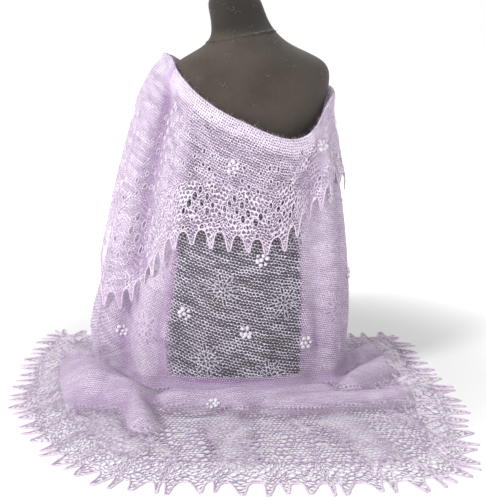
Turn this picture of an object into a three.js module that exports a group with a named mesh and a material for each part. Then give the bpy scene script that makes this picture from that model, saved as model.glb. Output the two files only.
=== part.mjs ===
// A square knitted lace shawl, worn turned down over a limbless dress form, with its train on the table.
// Millimetres. X is to the right of someone who looks at the back, Y points away from them, Z is up.
// The origin is on the table, at the middle of the form's flat base.
import * as THREE from "three";

// Cloth sizes
const wallThickness = 2;
const seamGap = 0.3;
const clothColor = 0xcdb4d2;
const edgeColor = 0xd9c3de;

// Pointed edging: one tooth for each repeat of the lace border
const trainTeeth = 82;
const toothDepth = 40;
const toothSway = { pitch: 0.2, depth: 0.16 };
const flapTeeth = 36;
const flapToothDepth = 32;
const perTooth = 3;
const frontTeeth = 11;
const frontToothDepth = 32;
const frontStripWidth = 6;

// Lace border: the rows between the field and the roots of the teeth, with two rows of eyelets
const borderWidth = 92;
const eyeletRows = { beforeFirst: 26, firstRow: 10, between: 24, secondRow: 10 };
const flapEyelets = { start: 0.45, end: 0.7 };

// Where the hanging cloth turns on to the table
const turnRadius = 40;
const openFront = { topAngle: 157, footAngle: 150 };

// Dress form: a row for each level, half sizes from the level's own centre
const formYaw = 12;
const bodyLevels = [
  { height: 0, centreX: -16, centreY: 0, halfWidth: 162, back: 108, front: 110 },
  { height: 12, centreX: -16, centreY: 0, halfWidth: 168, back: 113, front: 115 },
  { height: 70, centreX: -17, centreY: 0, halfWidth: 172, back: 117, front: 118 },
  { height: 150, centreX: -16, centreY: 0, halfWidth: 170, back: 115, front: 118 },
  { height: 250, centreX: -13, centreY: -1, halfWidth: 157, back: 104, front: 112 },
  { height: 350, centreX: -7, centreY: -4, halfWidth: 144, back: 94, front: 106 },
  { height: 440, centreX: 1, centreY: -8, halfWidth: 147, back: 97, front: 118 },
  { height: 530, centreX: 8, centreY: -10, halfWidth: 157, back: 103, front: 133 },
  { height: 600, centreX: 13, centreY: -12, halfWidth: 166, back: 107, front: 124 },
  { height: 650, centreX: 16, centreY: -12, halfWidth: 177, back: 104, front: 106 },
  { height: 690, centreX: 18, centreY: -12, halfWidth: 183, back: 96, front: 92 },
  { height: 712, centreX: 18, centreY: -12, halfWidth: 178, back: 88, front: 82 },
  { height: 728, centreX: 18, centreY: -12, halfWidth: 164, back: 80, front: 74 },
  { height: 742, centreX: 17, centreY: -11, halfWidth: 137, back: 72, front: 66 },
  { height: 757, centreX: 13, centreY: -10, halfWidth: 104, back: 64, front: 60 },
  { height: 772, centreX: 8, centreY: -8, halfWidth: 84, back: 60, front: 58 },
  { height: 786, centreX: 3, centreY: -5, halfWidth: 74, back: 57, front: 57 },
];
const neckLevels = [
  { height: 786.3, centreX: 3, centreY: -5, halfWidth: 73, back: 56, front: 56 },
  { height: 800, centreX: -3, centreY: 0, halfWidth: 68, back: 53, front: 54 },
  { height: 822, centreX: -10, centreY: 6, halfWidth: 63, back: 51, front: 52 },
  { height: 845, centreX: -17, centreY: 11, halfWidth: 62, back: 51, front: 52 },
  { height: 862, centreX: -19, centreY: 14, halfWidth: 57, back: 47, front: 48 },
  { height: 870, centreX: -20, centreY: 15, halfWidth: 48, back: 40, front: 41 },
];
const formSides = 28;
const formSquareness = 2.25;

// Hanging cloth: a row for each level, reaches measured from the origin
const clothLevels = [
  { height: 40, left: 352, right: 236, near: 176, far: 178 },
  { height: 110, left: 355, right: 241, near: 164, far: 168 },
  { height: 160, left: 347, right: 242, near: 158, far: 163 },
  { height: 220, left: 330, right: 240, near: 154, far: 158 },
  { height: 330, left: 303, right: 231, near: 146, far: 152 },
  { height: 440, left: 276, right: 216, near: 140, far: 150 },
  { height: 540, left: 247, right: 197, near: 136, far: 150 },
  { height: 610, left: 227, right: 191, near: 129, far: 142 },
  { height: 660, left: 213, right: 199, near: 125, far: 128 },
  { height: 700, left: 200, right: 203, near: 117, far: 112 },
  { height: 735, left: 171, right: 190, near: 102, far: 98 },
];
const clothSquareness = 2.15;

// Top fold, where the flap turns down: height by direction, 0 towards the near side, right positive
const topFold = [
  { angle: -180, height: 676 },
  { angle: -150, height: 694 },
  { angle: -125, height: 722 },
  { angle: -100, height: 735 },
  { angle: -75, height: 735 },
  { angle: -58, height: 724 },
  { angle: -41, height: 695 },
  { angle: -23, height: 648 },
  { angle: -8, height: 612 },
  { angle: 8, height: 580 },
  { angle: 21, height: 562 },
  { angle: 33, height: 556 },
  { angle: 46, height: 566 },
  { angle: 60, height: 596 },
  { angle: 75, height: 634 },
  { angle: 95, height: 655 },
  { angle: 130, height: 672 },
  { angle: 180, height: 676 },
];

// Flap: height of the points of its edge by direction
const flapEdge = [
  { angle: -180, height: 470 },
  { angle: -130, height: 430 },
  { angle: -100, height: 300 },
  { angle: -75, height: 205 },
  { angle: -58, height: 180 },
  { angle: -46, height: 200 },
  { angle: -36, height: 270 },
  { angle: -28, height: 320 },
  { angle: -15, height: 332 },
  { angle: 8, height: 312 },
  { angle: 20, height: 322 },
  { angle: 33, height: 366 },
  { angle: 48, height: 410 },
  { angle: 62, height: 462 },
  { angle: 85, height: 440 },
  { angle: 110, height: 420 },
  { angle: 180, height: 470 },
];
const flapStandOff = { top: 7, middle: 13, edge: 14 };
const topRoll = { radius: 5, gap: 0.9 };

// Upright folds of the hanging cloth: ridges are positive and valleys negative
const uprightFolds = [
  { angle: -142, halfWidth: 9, depth: 9, bottom: 0, top: 700 },
  { angle: -118, halfWidth: 9, depth: -10, bottom: 0, top: 690 },
  { angle: -96, halfWidth: 8, depth: 10, bottom: 0, top: 700 },
  { angle: -78, halfWidth: 6, depth: -11, bottom: 60, top: 640 },
  { angle: -62, halfWidth: 7, depth: 12, bottom: 40, top: 700 },
  { angle: -46, halfWidth: 6, depth: -24, bottom: 230, top: 690 },
  { angle: -49, halfWidth: 6, depth: -20, bottom: 0, top: 240 },
  { angle: -36, halfWidth: 5, depth: 16, bottom: 0, top: 280 },
  { angle: -24, halfWidth: 6, depth: 7, bottom: 300, top: 620 },
  { angle: 40, halfWidth: 6, depth: -7, bottom: 0, top: 500 },
  { angle: 55, halfWidth: 7, depth: 13, bottom: 0, top: 560 },
  { angle: 74, halfWidth: 6, depth: -9, bottom: 30, top: 560 },
  { angle: 90, halfWidth: 7, depth: 7, bottom: 0, top: 600 },
  { angle: 112, halfWidth: 9, depth: -9, bottom: 0, top: 630 },
  { angle: 138, halfWidth: 9, depth: 9, bottom: 0, top: 640 },
];

// Outline of the train: the line through the points of its edging, a row for each bend of the line
const trainOutline = [
  { place: "far left foot", x: -128, y: 246 },
  { place: "far left", x: -300, y: 272 },
  { place: "far left turn", x: -455, y: 300 },
  { place: "far left corner", x: -520, y: 282 },
  { place: "left", x: -540, y: 150 },
  { place: "left middle", x: -543, y: 0 },
  { place: "left bay", x: -528, y: -100 },
  { place: "left bulge", x: -528, y: -195 },
  { place: "near left", x: -482, y: -325 },
  { place: "near left slope", x: -418, y: -462 },
  { place: "near left turn", x: -334, y: -578 },
  { place: "near left corner", x: -224, y: -650 },
  { place: "near", x: -60, y: -662 },
  { place: "near middle", x: 120, y: -667 },
  { place: "near right", x: 290, y: -655 },
  { place: "near right turn", x: 385, y: -628 },
  { place: "right corner", x: 449, y: -552 },
  { place: "right below corner", x: 466, y: -450 },
  { place: "right bay", x: 471, y: -360 },
  { place: "right bulge", x: 488, y: -230 },
  { place: "right middle", x: 474, y: -98 },
  { place: "right far", x: 447, y: 60 },
  { place: "far right", x: 438, y: 180 },
  { place: "far right corner", x: 398, y: 264 },
  { place: "far right run", x: 290, y: 274 },
  { place: "far right foot", x: 112, y: 246 },
];
const trainCentre = { x: -15, y: -10 };

// Folds of the train where it lies on the table: soft ridges between two places
const floorFolds = [
  { place: "roll at the base", x1: -150, y1: -232, x2: -10, y2: -240, halfWidth: 34, height: 30 },
  { place: "roll, right half", x1: -10, y1: -240, x2: 175, y2: -192, halfWidth: 32, height: 28 },
  { place: "band to the right", x1: 70, y1: -262, x2: 330, y2: -212, halfWidth: 30, height: 24 },
  { place: "left pouch", x1: -365, y1: -60, x2: -330, y2: -180, halfWidth: 66, height: 60 },
  { place: "pouch, near end", x1: -330, y1: -180, x2: -255, y2: -222, halfWidth: 50, height: 46 },
  { place: "upright pleat", x1: -232, y1: -255, x2: -204, y2: -372, halfWidth: 24, height: 28 },
  { place: "far right tube", x1: 262, y1: 0, x2: 402, y2: 200, halfWidth: 34, height: 34 },
  { place: "right tube", x1: 240, y1: -130, x2: 392, y2: 62, halfWidth: 30, height: 28 },
  { place: "right thin fold", x1: 338, y1: -165, x2: 440, y2: -140, halfWidth: 20, height: 14 },
  { place: "near left crease", x1: -300, y1: -330, x2: -225, y2: -470, halfWidth: 30, height: 9 },
  { place: "near crease", x1: -40, y1: -330, x2: -10, y2: -520, halfWidth: 32, height: 7 },
  { place: "near right crease", x1: 200, y1: -330, x2: 260, y2: -500, halfWidth: 32, height: 8 },
  { place: "far left crease", x1: -395, y1: 60, x2: -470, y2: 180, halfWidth: 30, height: 12 },
  { place: "far crease", x1: -215, y1: 205, x2: -270, y2: 235, halfWidth: 24, height: 10 },
];
const foldFade = 60;

// Small helpers
const radians = THREE.MathUtils.degToRad;
const lerp = THREE.MathUtils.lerp;
const smooth = (value, low, high) => THREE.MathUtils.smoothstep(value, low, high);

// Reads a column of a table at any place, with a smooth curve through its rows
function readTable(rows, key, column, at) {
  const last = rows.length - 1;
  if (at <= rows[0][key]) return rows[0][column];
  if (at >= rows[last][key]) return rows[last][column];
  let row = 0;
  while (rows[row + 1][key] < at) row += 1;
  const width = rows[row + 1][key] - rows[row][key];
  const slope = (index) => {
    const before = rows[Math.max(index - 1, 0)];
    const after = rows[Math.min(index + 1, last)];
    return (after[column] - before[column]) / (after[key] - before[key]);
  };
  const share = (at - rows[row][key]) / width;
  const start = rows[row][column];
  const end = rows[row + 1][column];
  const startPull = slope(row) * width;
  const endPull = slope(row + 1) * width;
  const share2 = share * share;
  const share3 = share2 * share;
  return (
    (2 * share3 - 3 * share2 + 1) * start +
    (share3 - 2 * share2 + share) * startPull +
    (3 * share2 - 2 * share3) * end +
    (share3 - share2) * endPull
  );
}

const signedPower = (value, power) => Math.sign(value) * Math.abs(value) ** power;

// Outline through the tooth points, cut into equal lengths, one for each tooth
const outlineCurve = new THREE.CatmullRomCurve3(
  trainOutline.map((row) => new THREE.Vector3(row.x, row.y, 0)),
  false,
  "centripetal",
);
outlineCurve.arcLengthDivisions = 2000;

// Teeth are uneven, so their places sway along the line
function swayed(tooth, count) {
  const free = Math.min(tooth, count - tooth, 1);
  const sway = Math.sin(2.4 * tooth) + 0.6 * Math.sin(0.9 * tooth);
  return tooth + toothSway.pitch * free * sway;
}

function outlineAt(column) {
  return outlineCurve.getPointAt(THREE.MathUtils.clamp(swayed(column, trainTeeth) / trainTeeth, 0, 1));
}

function depthSway(tooth) {
  return 1 + toothSway.depth * Math.sin(1.7 * Math.floor(tooth));
}

// Direction of a column at the table, in degrees from the near side
function footAngleAt(column) {
  const point = outlineAt(column);
  const angle = Math.atan2(point.x - trainCentre.x, -(point.y - trainCentre.y));
  return THREE.MathUtils.radToDeg(angle);
}

const footEnds = { left: footAngleAt(0), right: footAngleAt(trainTeeth) };

// The same column's direction on the hanging cloth, whose open front edges stand upright
function drapeAngleAt(column, share) {
  const angle = footAngleAt(column);
  const edge = lerp(openFront.topAngle, openFront.footAngle, share);
  const side = angle < 0 ? -footEnds.left : footEnds.right;
  const turned = Math.abs(angle);
  const sideStart = 60;
  if (turned < sideStart) return angle;
  const along = (turned - sideStart) / (side - sideStart);
  return Math.sign(angle) * lerp(sideStart, edge, along);
}

function uprightFoldAt(angle, height) {
  let depth = 0;
  for (const fold of uprightFolds) {
    const across = (angle - fold.angle) / fold.halfWidth;
    const foot = fold.bottom > 0 ? smooth(height, fold.bottom, fold.bottom + foldFade) : 1;
    const head = 1 - smooth(height, fold.top - foldFade, fold.top);
    depth += fold.depth * Math.exp(-across * across) * foot * head;
  }
  return depth;
}

// A point of the hanging cloth's inner side, by direction and height
function hangingPoint(angle, height, moveOut = 0) {
  const turn = radians(angle);
  const side = angle < 0 ? "left" : "right";
  const end = Math.abs(angle) < 90 ? "near" : "far";
  const power = 2 / clothSquareness;
  const reachX = readTable(clothLevels, "height", side, height);
  const reachY = readTable(clothLevels, "height", end, height);
  const x = reachX * signedPower(Math.sin(turn), power);
  const y = -reachY * signedPower(Math.cos(turn), power);
  const point = new THREE.Vector3(x, y, height);
  const out = new THREE.Vector3(x / reachX ** 2, y / reachY ** 2, 0).normalize();
  return point.addScaledVector(out, uprightFoldAt(angle, height) + moveOut);
}

function topFoldHeight(angle) {
  return readTable(topFold, "angle", "height", angle);
}

// Height of the folds of the cloth that lies on the table
function floorHeight(x, y) {
  let height = 0;
  for (const fold of floorFolds) {
    const runX = fold.x2 - fold.x1;
    const runY = fold.y2 - fold.y1;
    const along = ((x - fold.x1) * runX + (y - fold.y1) * runY) / (runX ** 2 + runY ** 2);
    const place = THREE.MathUtils.clamp(along, 0, 1);
    const distance = Math.hypot(x - fold.x1 - place * runX, y - fold.y1 - place * runY);
    const share = 1 - smooth(distance, 0, 2 * fold.halfWidth);
    height = Math.max(height, fold.height * share) + 0.25 * Math.min(height, fold.height * share);
  }
  return height;
}

// The whole cloth below the top fold: 0 to 1 hangs, 1 to 2 turns on to the table, 2 to 3 lies on it
function clothPoint(column, part) {
  if (part <= 1) {
    const topAngle = drapeAngleAt(column, 0);
    const angle = drapeAngleAt(column, part);
    return hangingPoint(angle, lerp(topFoldHeight(topAngle), turnRadius, part));
  }
  const foot = hangingPoint(drapeAngleAt(column, 1), turnRadius);
  const root = rootAt(column);
  const run = new THREE.Vector3(root.x - foot.x, root.y - foot.y, 0);
  const reach = run.length();
  run.normalize();
  if (part <= 2) {
    const turn = radians(90 * (part - 1));
    const out = turnRadius * (1 - Math.cos(turn));
    const point = foot.clone().addScaledVector(run, out);
    point.z = turnRadius * (1 - Math.sin(turn));
    point.z += (part - 1) ** 2 * floorHeight(point.x, point.y);
    return point;
  }
  const point = foot.clone().addScaledVector(run, lerp(turnRadius, reach, part - 2));
  point.z = floorHeight(point.x, point.y) * smooth(reach * (3 - part), 0, foldFade);
  return point;
}

// Root of the teeth, square to the line through their points
function rootAt(column) {
  const step = 0.4;
  const before = outlineAt(Math.max(column - step, 0));
  const after = outlineAt(Math.min(column + step, trainTeeth));
  const inward = new THREE.Vector3(-(after.y - before.y), after.x - before.x, 0).normalize();
  return outlineAt(column).addScaledVector(inward, toothDepth);
}

// Outward normal of the cloth, from close points on each side
function normalOf(column, part) {
  const lastPart = 3;
  const columnStep = 0.05;
  const partStep = 0.004;
  const low = Math.max(column - columnStep, 0);
  const high = Math.min(column + columnStep, trainTeeth);
  const up = Math.max(part - partStep, 0);
  const down = Math.min(part + partStep, lastPart);
  const across = clothPoint(high, part).sub(clothPoint(low, part));
  const along = clothPoint(column, down).sub(clothPoint(column, up));
  return along.cross(across).normalize();
}

// Both sides of the wall at one place
function wallPair(column, part) {
  const inner = clothPoint(column, part);
  const normal = normalOf(column, part);
  if (part === 0) normal.setZ(0).normalize();
  const outer = inner.clone().addScaledVector(normal, wallThickness);
  return { inner, outer };
}

function blendPair(first, second, share) {
  return {
    inner: first.inner.clone().lerp(second.inner, share),
    outer: first.outer.clone().lerp(second.outer, share),
  };
}

// Draws the rim of a grid of wall pairs in by half a seam, so that pieces stay apart
function trimSeams(grid, sides) {
  const draw = (edge, beside) => {
    const length = edge.inner.distanceTo(beside.inner);
    return blendPair(edge, beside, seamGap / 2 / length);
  };
  const columns = grid.length - 1;
  const rows = grid[0].length - 1;
  if (sides.top) grid.forEach((line) => (line[0] = draw(line[0], line[1])));
  if (sides.bottom) grid.forEach((line) => (line[rows] = draw(line[rows], line[rows - 1])));
  if (sides.start) grid[0] = grid[0].map((pair, row) => draw(pair, grid[1][row]));
  if (sides.end) grid[columns] = grid[columns].map((pair, row) => draw(pair, grid[columns - 1][row]));
  return grid;
}

const group = new THREE.Group();

function addMesh(name, geometry, color, roughness) {
  const material = new THREE.MeshStandardMaterial({ color, roughness, metalness: 0 });
  const mesh = new THREE.Mesh(geometry, material);
  mesh.name = name;
  group.add(mesh);
}

function geometryFrom(points, triangles) {
  const geometry = new THREE.BufferGeometry();
  const places = points.flatMap((point) => [point.x, point.y, point.z]);
  geometry.setAttribute("position", new THREE.Float32BufferAttribute(places, 3));
  geometry.setIndex(triangles);
  geometry.computeVertexNormals();
  return geometry;
}

// Closes a grid of wall pairs into one solid. Cells that isEyelet names are cut right through.
function wallGeometry(grid, isEyelet = () => false) {
  const columns = grid.length - 1;
  const rows = grid[0].length - 1;
  const points = [];
  for (const line of grid) {
    for (const pair of line) points.push(pair.inner, pair.outer);
  }
  const pointAt = (column, row, side) => 2 * (column * (rows + 1) + row) + side;
  const triangles = [];
  const quad = (a, b, c, d) => triangles.push(a, b, c, a, c, d);
  const isCloth = (column, row) => {
    const inside = column >= 0 && column < columns && row >= 0 && row < rows;
    return inside && !isEyelet(column, row);
  };
  // The rim's two triangles share the same diagonal on both sides of a seam
  const rim = (fromColumn, fromRow, toColumn, toRow, isForward) => {
    const [inner, outer] = [pointAt(fromColumn, fromRow, 0), pointAt(fromColumn, fromRow, 1)];
    const [nextInner, nextOuter] = [pointAt(toColumn, toRow, 0), pointAt(toColumn, toRow, 1)];
    if (isForward) triangles.push(inner, nextInner, nextOuter, inner, nextOuter, outer);
    else triangles.push(nextInner, inner, nextOuter, inner, outer, nextOuter);
  };
  for (let column = 0; column < columns; column += 1) {
    for (let row = 0; row < rows; row += 1) {
      if (!isCloth(column, row)) continue;
      const corners = [[column, row], [column + 1, row], [column + 1, row + 1], [column, row + 1]];
      quad(...corners.map(([c, r]) => pointAt(c, r, 0)));
      quad(...corners.map(([c, r]) => pointAt(c, r, 1)).reverse());
      if (!isCloth(column, row - 1)) rim(column, row, column + 1, row, false);
      if (!isCloth(column, row + 1)) rim(column, row + 1, column + 1, row + 1, true);
      if (!isCloth(column - 1, row)) rim(column, row, column, row + 1, true);
      if (!isCloth(column + 1, row)) rim(column + 1, row, column + 1, row + 1, false);
    }
  }
  return geometryFrom(points, triangles);
}

// Stretches of the cloth, by the column where each ends
const stretches = [
  { name: "front_left", start: 0, end: columnNear(-125) },
  { name: "left", start: columnNear(-125), end: columnNear(-45) },
  { name: "back", start: columnNear(-45), end: columnNear(44) },
  { name: "right", start: columnNear(44), end: columnNear(120) },
  { name: "front_right", start: columnNear(120), end: trainTeeth },
];

function columnNear(angle) {
  let column = 0;
  while (footAngleAt(column) < angle) column += 1;
  return column;
}

function seamSides(stretch, top, bottom) {
  return { top, bottom, start: stretch.start > 0, end: stretch.end < trainTeeth };
}

// Steps from one column to another, each column cut into equal parts
function columnsOf(stretch, perColumn) {
  const count = (stretch.end - stretch.start) * perColumn;
  return Array.from({ length: count + 1 }, (_, index) => stretch.start + index / perColumn);
}

const drapeRows = [0, 0.06, 0.15, 0.27, 0.4, 0.54, 0.68, 0.82, 1];
const turnRows = [1.5, 2];
const lyingShares = [0.16, 0.33, 0.52, 0.75];

function addDrape(stretch) {
  const grid = columnsOf(stretch, 1).map((column) => drapeRows.map((part) => wallPair(column, part)));
  const wall = wallGeometry(trimSeams(grid, seamSides(stretch, true, true)));
  addMesh(`drape_${stretch.name}`, wall, clothColor, 0.95);
}

// Share of a column's run on the table where the lace border starts
function borderStart(column) {
  const foot = hangingPoint(drapeAngleAt(column, 1), turnRadius);
  const root = rootAt(column);
  const reach = Math.hypot(root.x - foot.x, root.y - foot.y) - turnRadius;
  return 3 - Math.min(borderWidth / reach, 0.6);
}

// A pair between two columns of the coarser field, on its flat facet
function pairOnEdge(column, partAt) {
  const low = Math.floor(column + 1e-6);
  const first = wallPair(low, partAt(low));
  const share = column - low;
  return share < 1e-6 ? first : blendPair(first, wallPair(low + 1, partAt(low + 1)), share);
}

function addTrain(stretch) {
  const grid = columnsOf(stretch, 1).map((column) => {
    const start = borderStart(column);
    const lyingRows = lyingShares.map((share) => lerp(2, start, share));
    return [1, ...turnRows, ...lyingRows, start].map((part) => wallPair(column, part));
  });
  const wall = wallGeometry(trimSeams(grid, seamSides(stretch, true, true)));
  addMesh(`train_${stretch.name}`, wall, clothColor, 0.95);
}

// A tooth's third column is its point, and a shallow bay lies between its first two
function toothReach(tooth) {
  const share = tooth - Math.floor(tooth);
  return share > 0.5 ? depthSway(tooth) : 0;
}

function addBorder(stretch) {
  const { beforeFirst, firstRow, between, secondRow } = eyeletRows;
  const ends = [beforeFirst, beforeFirst + firstRow, beforeFirst + firstRow + between];
  ends.push(ends[2] + secondRow);
  const grid = columnsOf(stretch, perTooth).map((column) => {
    const start = borderStart(column);
    const rows = ends.map((end) => wallPair(column, lerp(start, 3, end / borderWidth)));
    const root = rootAt(column);
    const tip = outlineAt(column);
    const inner = root.clone().lerp(tip, toothReach(column));
    const edgePair = { inner, outer: inner.clone().setZ(wallThickness) };
    return [pairOnEdge(column, borderStart), ...rows, edgePair];
  });
  const isEyelet = (column, row) => {
    const inTooth = column % perTooth;
    return (row === 1 && inTooth === 0) || (row === 3 && inTooth === 1);
  };
  const sides = seamSides(stretch, true, false);
  addMesh(`border_${stretch.name}`, wallGeometry(trimSeams(grid, sides), isEyelet), edgeColor, 0.9);
}

// Flap: columns at equal lengths along its edge, so that its teeth are alike
const flapDirections = (() => {
  const fine = 600;
  const places = [];
  let length = 0;
  let before = null;
  for (let step = 0; step <= fine; step += 1) {
    const angle = lerp(-openFront.topAngle, openFront.topAngle, step / fine);
    const point = hangingPoint(angle, readTable(flapEdge, "angle", "height", angle));
    if (before) length += point.distanceTo(before);
    before = point;
    places.push({ length, angle });
  }
  return places;
})();

function flapAngleAt(tooth) {
  const total = flapDirections.at(-1).length;
  const wanted = THREE.MathUtils.clamp((tooth / flapTeeth) * total, 0, total);
  return readTable(flapDirections, "length", "angle", wanted);
}

// A point of the flap's inner side: 0 to 1 rolls over the top fold, 1 to 2 goes down to the roots
function flapPoint(tooth, part) {
  const angle = flapAngleAt(tooth);
  const head = topFoldHeight(angle) + topRoll.gap;
  if (part <= 1) {
    const turn = Math.PI * part;
    const out = wallThickness + (flapStandOff.top / 2) * (1 - Math.cos(turn));
    return hangingPoint(angle, head + topRoll.radius * Math.sin(turn), out);
  }
  const root = readTable(flapEdge, "angle", "height", angle) + flapToothDepth;
  const share = part - 1;
  const lift = lerp(flapStandOff.top, flapStandOff.edge, share);
  const out = lift + (flapStandOff.middle - lift) * Math.sin(Math.PI * share);
  return hangingPoint(angle, lerp(head, root, share), wallThickness + out);
}

function flapPair(tooth, part) {
  const inner = flapPoint(tooth, part);
  const step = 0.02;
  const across = flapPoint(tooth + step, part).sub(flapPoint(tooth - step, part));
  const along = flapPoint(tooth, Math.min(part + step, 2)).sub(flapPoint(tooth, Math.max(part - step, 0)));
  const outer = inner.clone().addScaledVector(along.cross(across).normalize(), wallThickness);
  return { inner, outer };
}

const flapRows = [0, 0.5, 1, 1.09, 1.3];
const flapSeamRow = 1.6;
const flapSteps = 2;
const flapStretches = [
  { name: "front_left", start: 0, end: flapToothNear(-112) },
  { name: "left", start: flapToothNear(-112), end: flapToothNear(-42) },
  { name: "back", start: flapToothNear(-42), end: flapToothNear(46) },
  { name: "right", start: flapToothNear(46), end: flapToothNear(115) },
  { name: "front_right", start: flapToothNear(115), end: flapTeeth },
];

function flapToothNear(angle) {
  let tooth = 0;
  while (flapAngleAt(tooth) < angle) tooth += 1;
  return tooth;
}

// The seam between the flap and its border runs straight from tooth to tooth
function flapSeamPair(tooth) {
  const low = Math.floor(tooth + 1e-6);
  const share = tooth - low;
  const first = flapPair(low, flapSeamRow);
  return share > 1e-6 ? blendPair(first, flapPair(low + 1, flapSeamRow), share) : first;
}

function addFlap(stretch) {
  const inside = stretch.start > 0;
  const onward = stretch.end < flapTeeth;
  const columns = columnsOf(stretch, flapSteps);
  const lineOf = (tooth) => [...flapRows.map((part) => flapPair(tooth, part)), flapSeamPair(tooth)];
  const grid = columns.map(lineOf);
  const sides = { top: false, bottom: true, start: inside, end: onward };
  addMesh(`flap_${stretch.name}`, wallGeometry(trimSeams(grid, sides)), clothColor, 0.95);
}

function addFlapBorder(stretch) {
  const grid = columnsOf(stretch, perTooth).map((tooth) => {
    const eyeletTop = flapPair(tooth, lerp(flapSeamRow, 2, flapEyelets.start));
    const eyeletEnd = flapPair(tooth, lerp(flapSeamRow, 2, flapEyelets.end));
    const root = flapPair(tooth, 2);
    const reach = toothReach(tooth) * flapToothDepth;
    const point = {
      inner: root.inner.clone().setZ(root.inner.z - reach),
      outer: root.outer.clone().setZ(root.outer.z - reach),
    };
    return [flapSeamPair(tooth), eyeletTop, eyeletEnd, point];
  });
  const isEyelet = (column, row) => row === 1 && column % perTooth === 1;
  const sides = { top: true, bottom: false, start: stretch.start > 0, end: stretch.end < flapTeeth };
  addMesh(`flap_border_${stretch.name}`, wallGeometry(trimSeams(grid, sides), isEyelet), edgeColor, 0.9);
}

// A pair on the flat facets of the drape's upright edge
function pairOnDrapeEdge(column, part) {
  const high = drapeRows.findIndex((row) => row >= part);
  const low = high - 1;
  const share = (part - drapeRows[low]) / (drapeRows[high] - drapeRows[low]);
  const first = wallPair(column, drapeRows[low]);
  return blendPair(first, wallPair(column, drapeRows[high]), share);
}

// Pointed edging down an open front edge
function addFrontEdging(name, column, direction) {
  const steps = 2 * frontTeeth;
  const grid = [];
  for (let step = 0; step <= steps; step += 1) {
    const part = lerp(0.02, 0.98, step / steps);
    const root = pairOnDrapeEdge(column, part);
    const beside = clothPoint(column - direction * 0.2, part);
    const out = root.inner.clone().sub(beside).normalize();
    const reach = step % 2 === 0 ? frontStripWidth : frontToothDepth;
    const move = (distance) => ({
      inner: root.inner.clone().addScaledVector(out, distance),
      outer: root.outer.clone().addScaledVector(out, distance),
    });
    grid.push([move(seamGap), move(reach)]);
  }
  const ordered = direction > 0 ? grid.reverse() : grid;
  addMesh(name, wallGeometry(ordered), edgeColor, 0.9);
}

// The form's closed body through its levels
function addForm(name, levels, color) {
  const points = [];
  const power = 2 / formSquareness;
  const yaw = radians(formYaw);
  for (const level of levels) {
    for (let side = 0; side < formSides; side += 1) {
      const turn = (2 * Math.PI * side) / formSides;
      const depth = Math.sin(turn) < 0 ? level.back : level.front;
      const x = level.halfWidth * signedPower(Math.cos(turn), power);
      const y = depth * signedPower(Math.sin(turn), power);
      const turnedX = x * Math.cos(yaw) - y * Math.sin(yaw);
      const turnedY = x * Math.sin(yaw) + y * Math.cos(yaw);
      points.push(new THREE.Vector3(level.centreX + turnedX, level.centreY + turnedY, level.height));
    }
  }
  const triangles = [];
  for (let ring = 0; ring < levels.length - 1; ring += 1) {
    for (let side = 0; side < formSides; side += 1) {
      const next = (side + 1) % formSides;
      const low = ring * formSides;
      const high = low + formSides;
      triangles.push(low + side, low + next, high + next, low + side, high + next, high + side);
    }
  }
  const top = (levels.length - 1) * formSides;
  for (let side = 1; side < formSides - 1; side += 1) {
    triangles.push(0, side + 1, side, top, top + side, top + side + 1);
  }
  addMesh(name, geometryFrom(points, triangles), color, 0.9);
}

addForm("form_body", bodyLevels, 0x463e37);
addForm("form_neck", neckLevels, 0x4a423b);
for (const stretch of stretches) {
  addDrape(stretch);
  addTrain(stretch);
  addBorder(stretch);
}
for (const stretch of flapStretches) {
  addFlap(stretch);
  addFlapBorder(stretch);
}
addFrontEdging("edging_front_left", 0, -1);
addFrontEdging("edging_front_right", trainTeeth, 1);

export default group;
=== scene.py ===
import math
from functools import partial

import bpy
import numpy as np
from mathutils import Matrix, Vector


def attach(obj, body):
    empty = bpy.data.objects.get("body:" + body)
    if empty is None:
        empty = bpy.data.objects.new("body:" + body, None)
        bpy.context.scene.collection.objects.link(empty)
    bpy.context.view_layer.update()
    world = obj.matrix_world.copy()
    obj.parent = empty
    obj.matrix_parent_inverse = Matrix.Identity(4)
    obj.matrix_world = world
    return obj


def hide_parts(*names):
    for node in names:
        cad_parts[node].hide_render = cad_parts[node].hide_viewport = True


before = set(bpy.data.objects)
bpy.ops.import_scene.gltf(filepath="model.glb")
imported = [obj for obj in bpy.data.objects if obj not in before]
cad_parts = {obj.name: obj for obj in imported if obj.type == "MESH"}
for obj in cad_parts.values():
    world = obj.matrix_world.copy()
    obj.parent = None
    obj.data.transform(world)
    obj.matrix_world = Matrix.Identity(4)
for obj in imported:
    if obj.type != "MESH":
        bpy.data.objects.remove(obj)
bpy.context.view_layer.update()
bpy.ops.object.select_all(action="DESELECT")

# Camera at the photo's angle
view = {"eye": (0.0, -2.25, 0.80), "aim": (0.0, 0.0, 0.29), "lens": 70.92, "sensor": 36}


def addObject(name, data):
    made = bpy.data.objects.new(name, data)
    bpy.context.scene.collection.objects.link(made)
    return made


def aimAt(thing, place, aim):
    thing.location = place
    thing.rotation_mode = "QUATERNION"
    thing.rotation_quaternion = (Vector(aim) - Vector(place)).to_track_quat("-Z", "Y")


def addCamera():
    data = bpy.data.cameras.new("camera")
    data.lens = view["lens"]
    data.sensor_width = view["sensor"]
    camera = addObject("camera", data)
    aimAt(camera, view["eye"], view["aim"])
    bpy.context.scene.camera = camera


addCamera()
print("camera ready")

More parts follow.
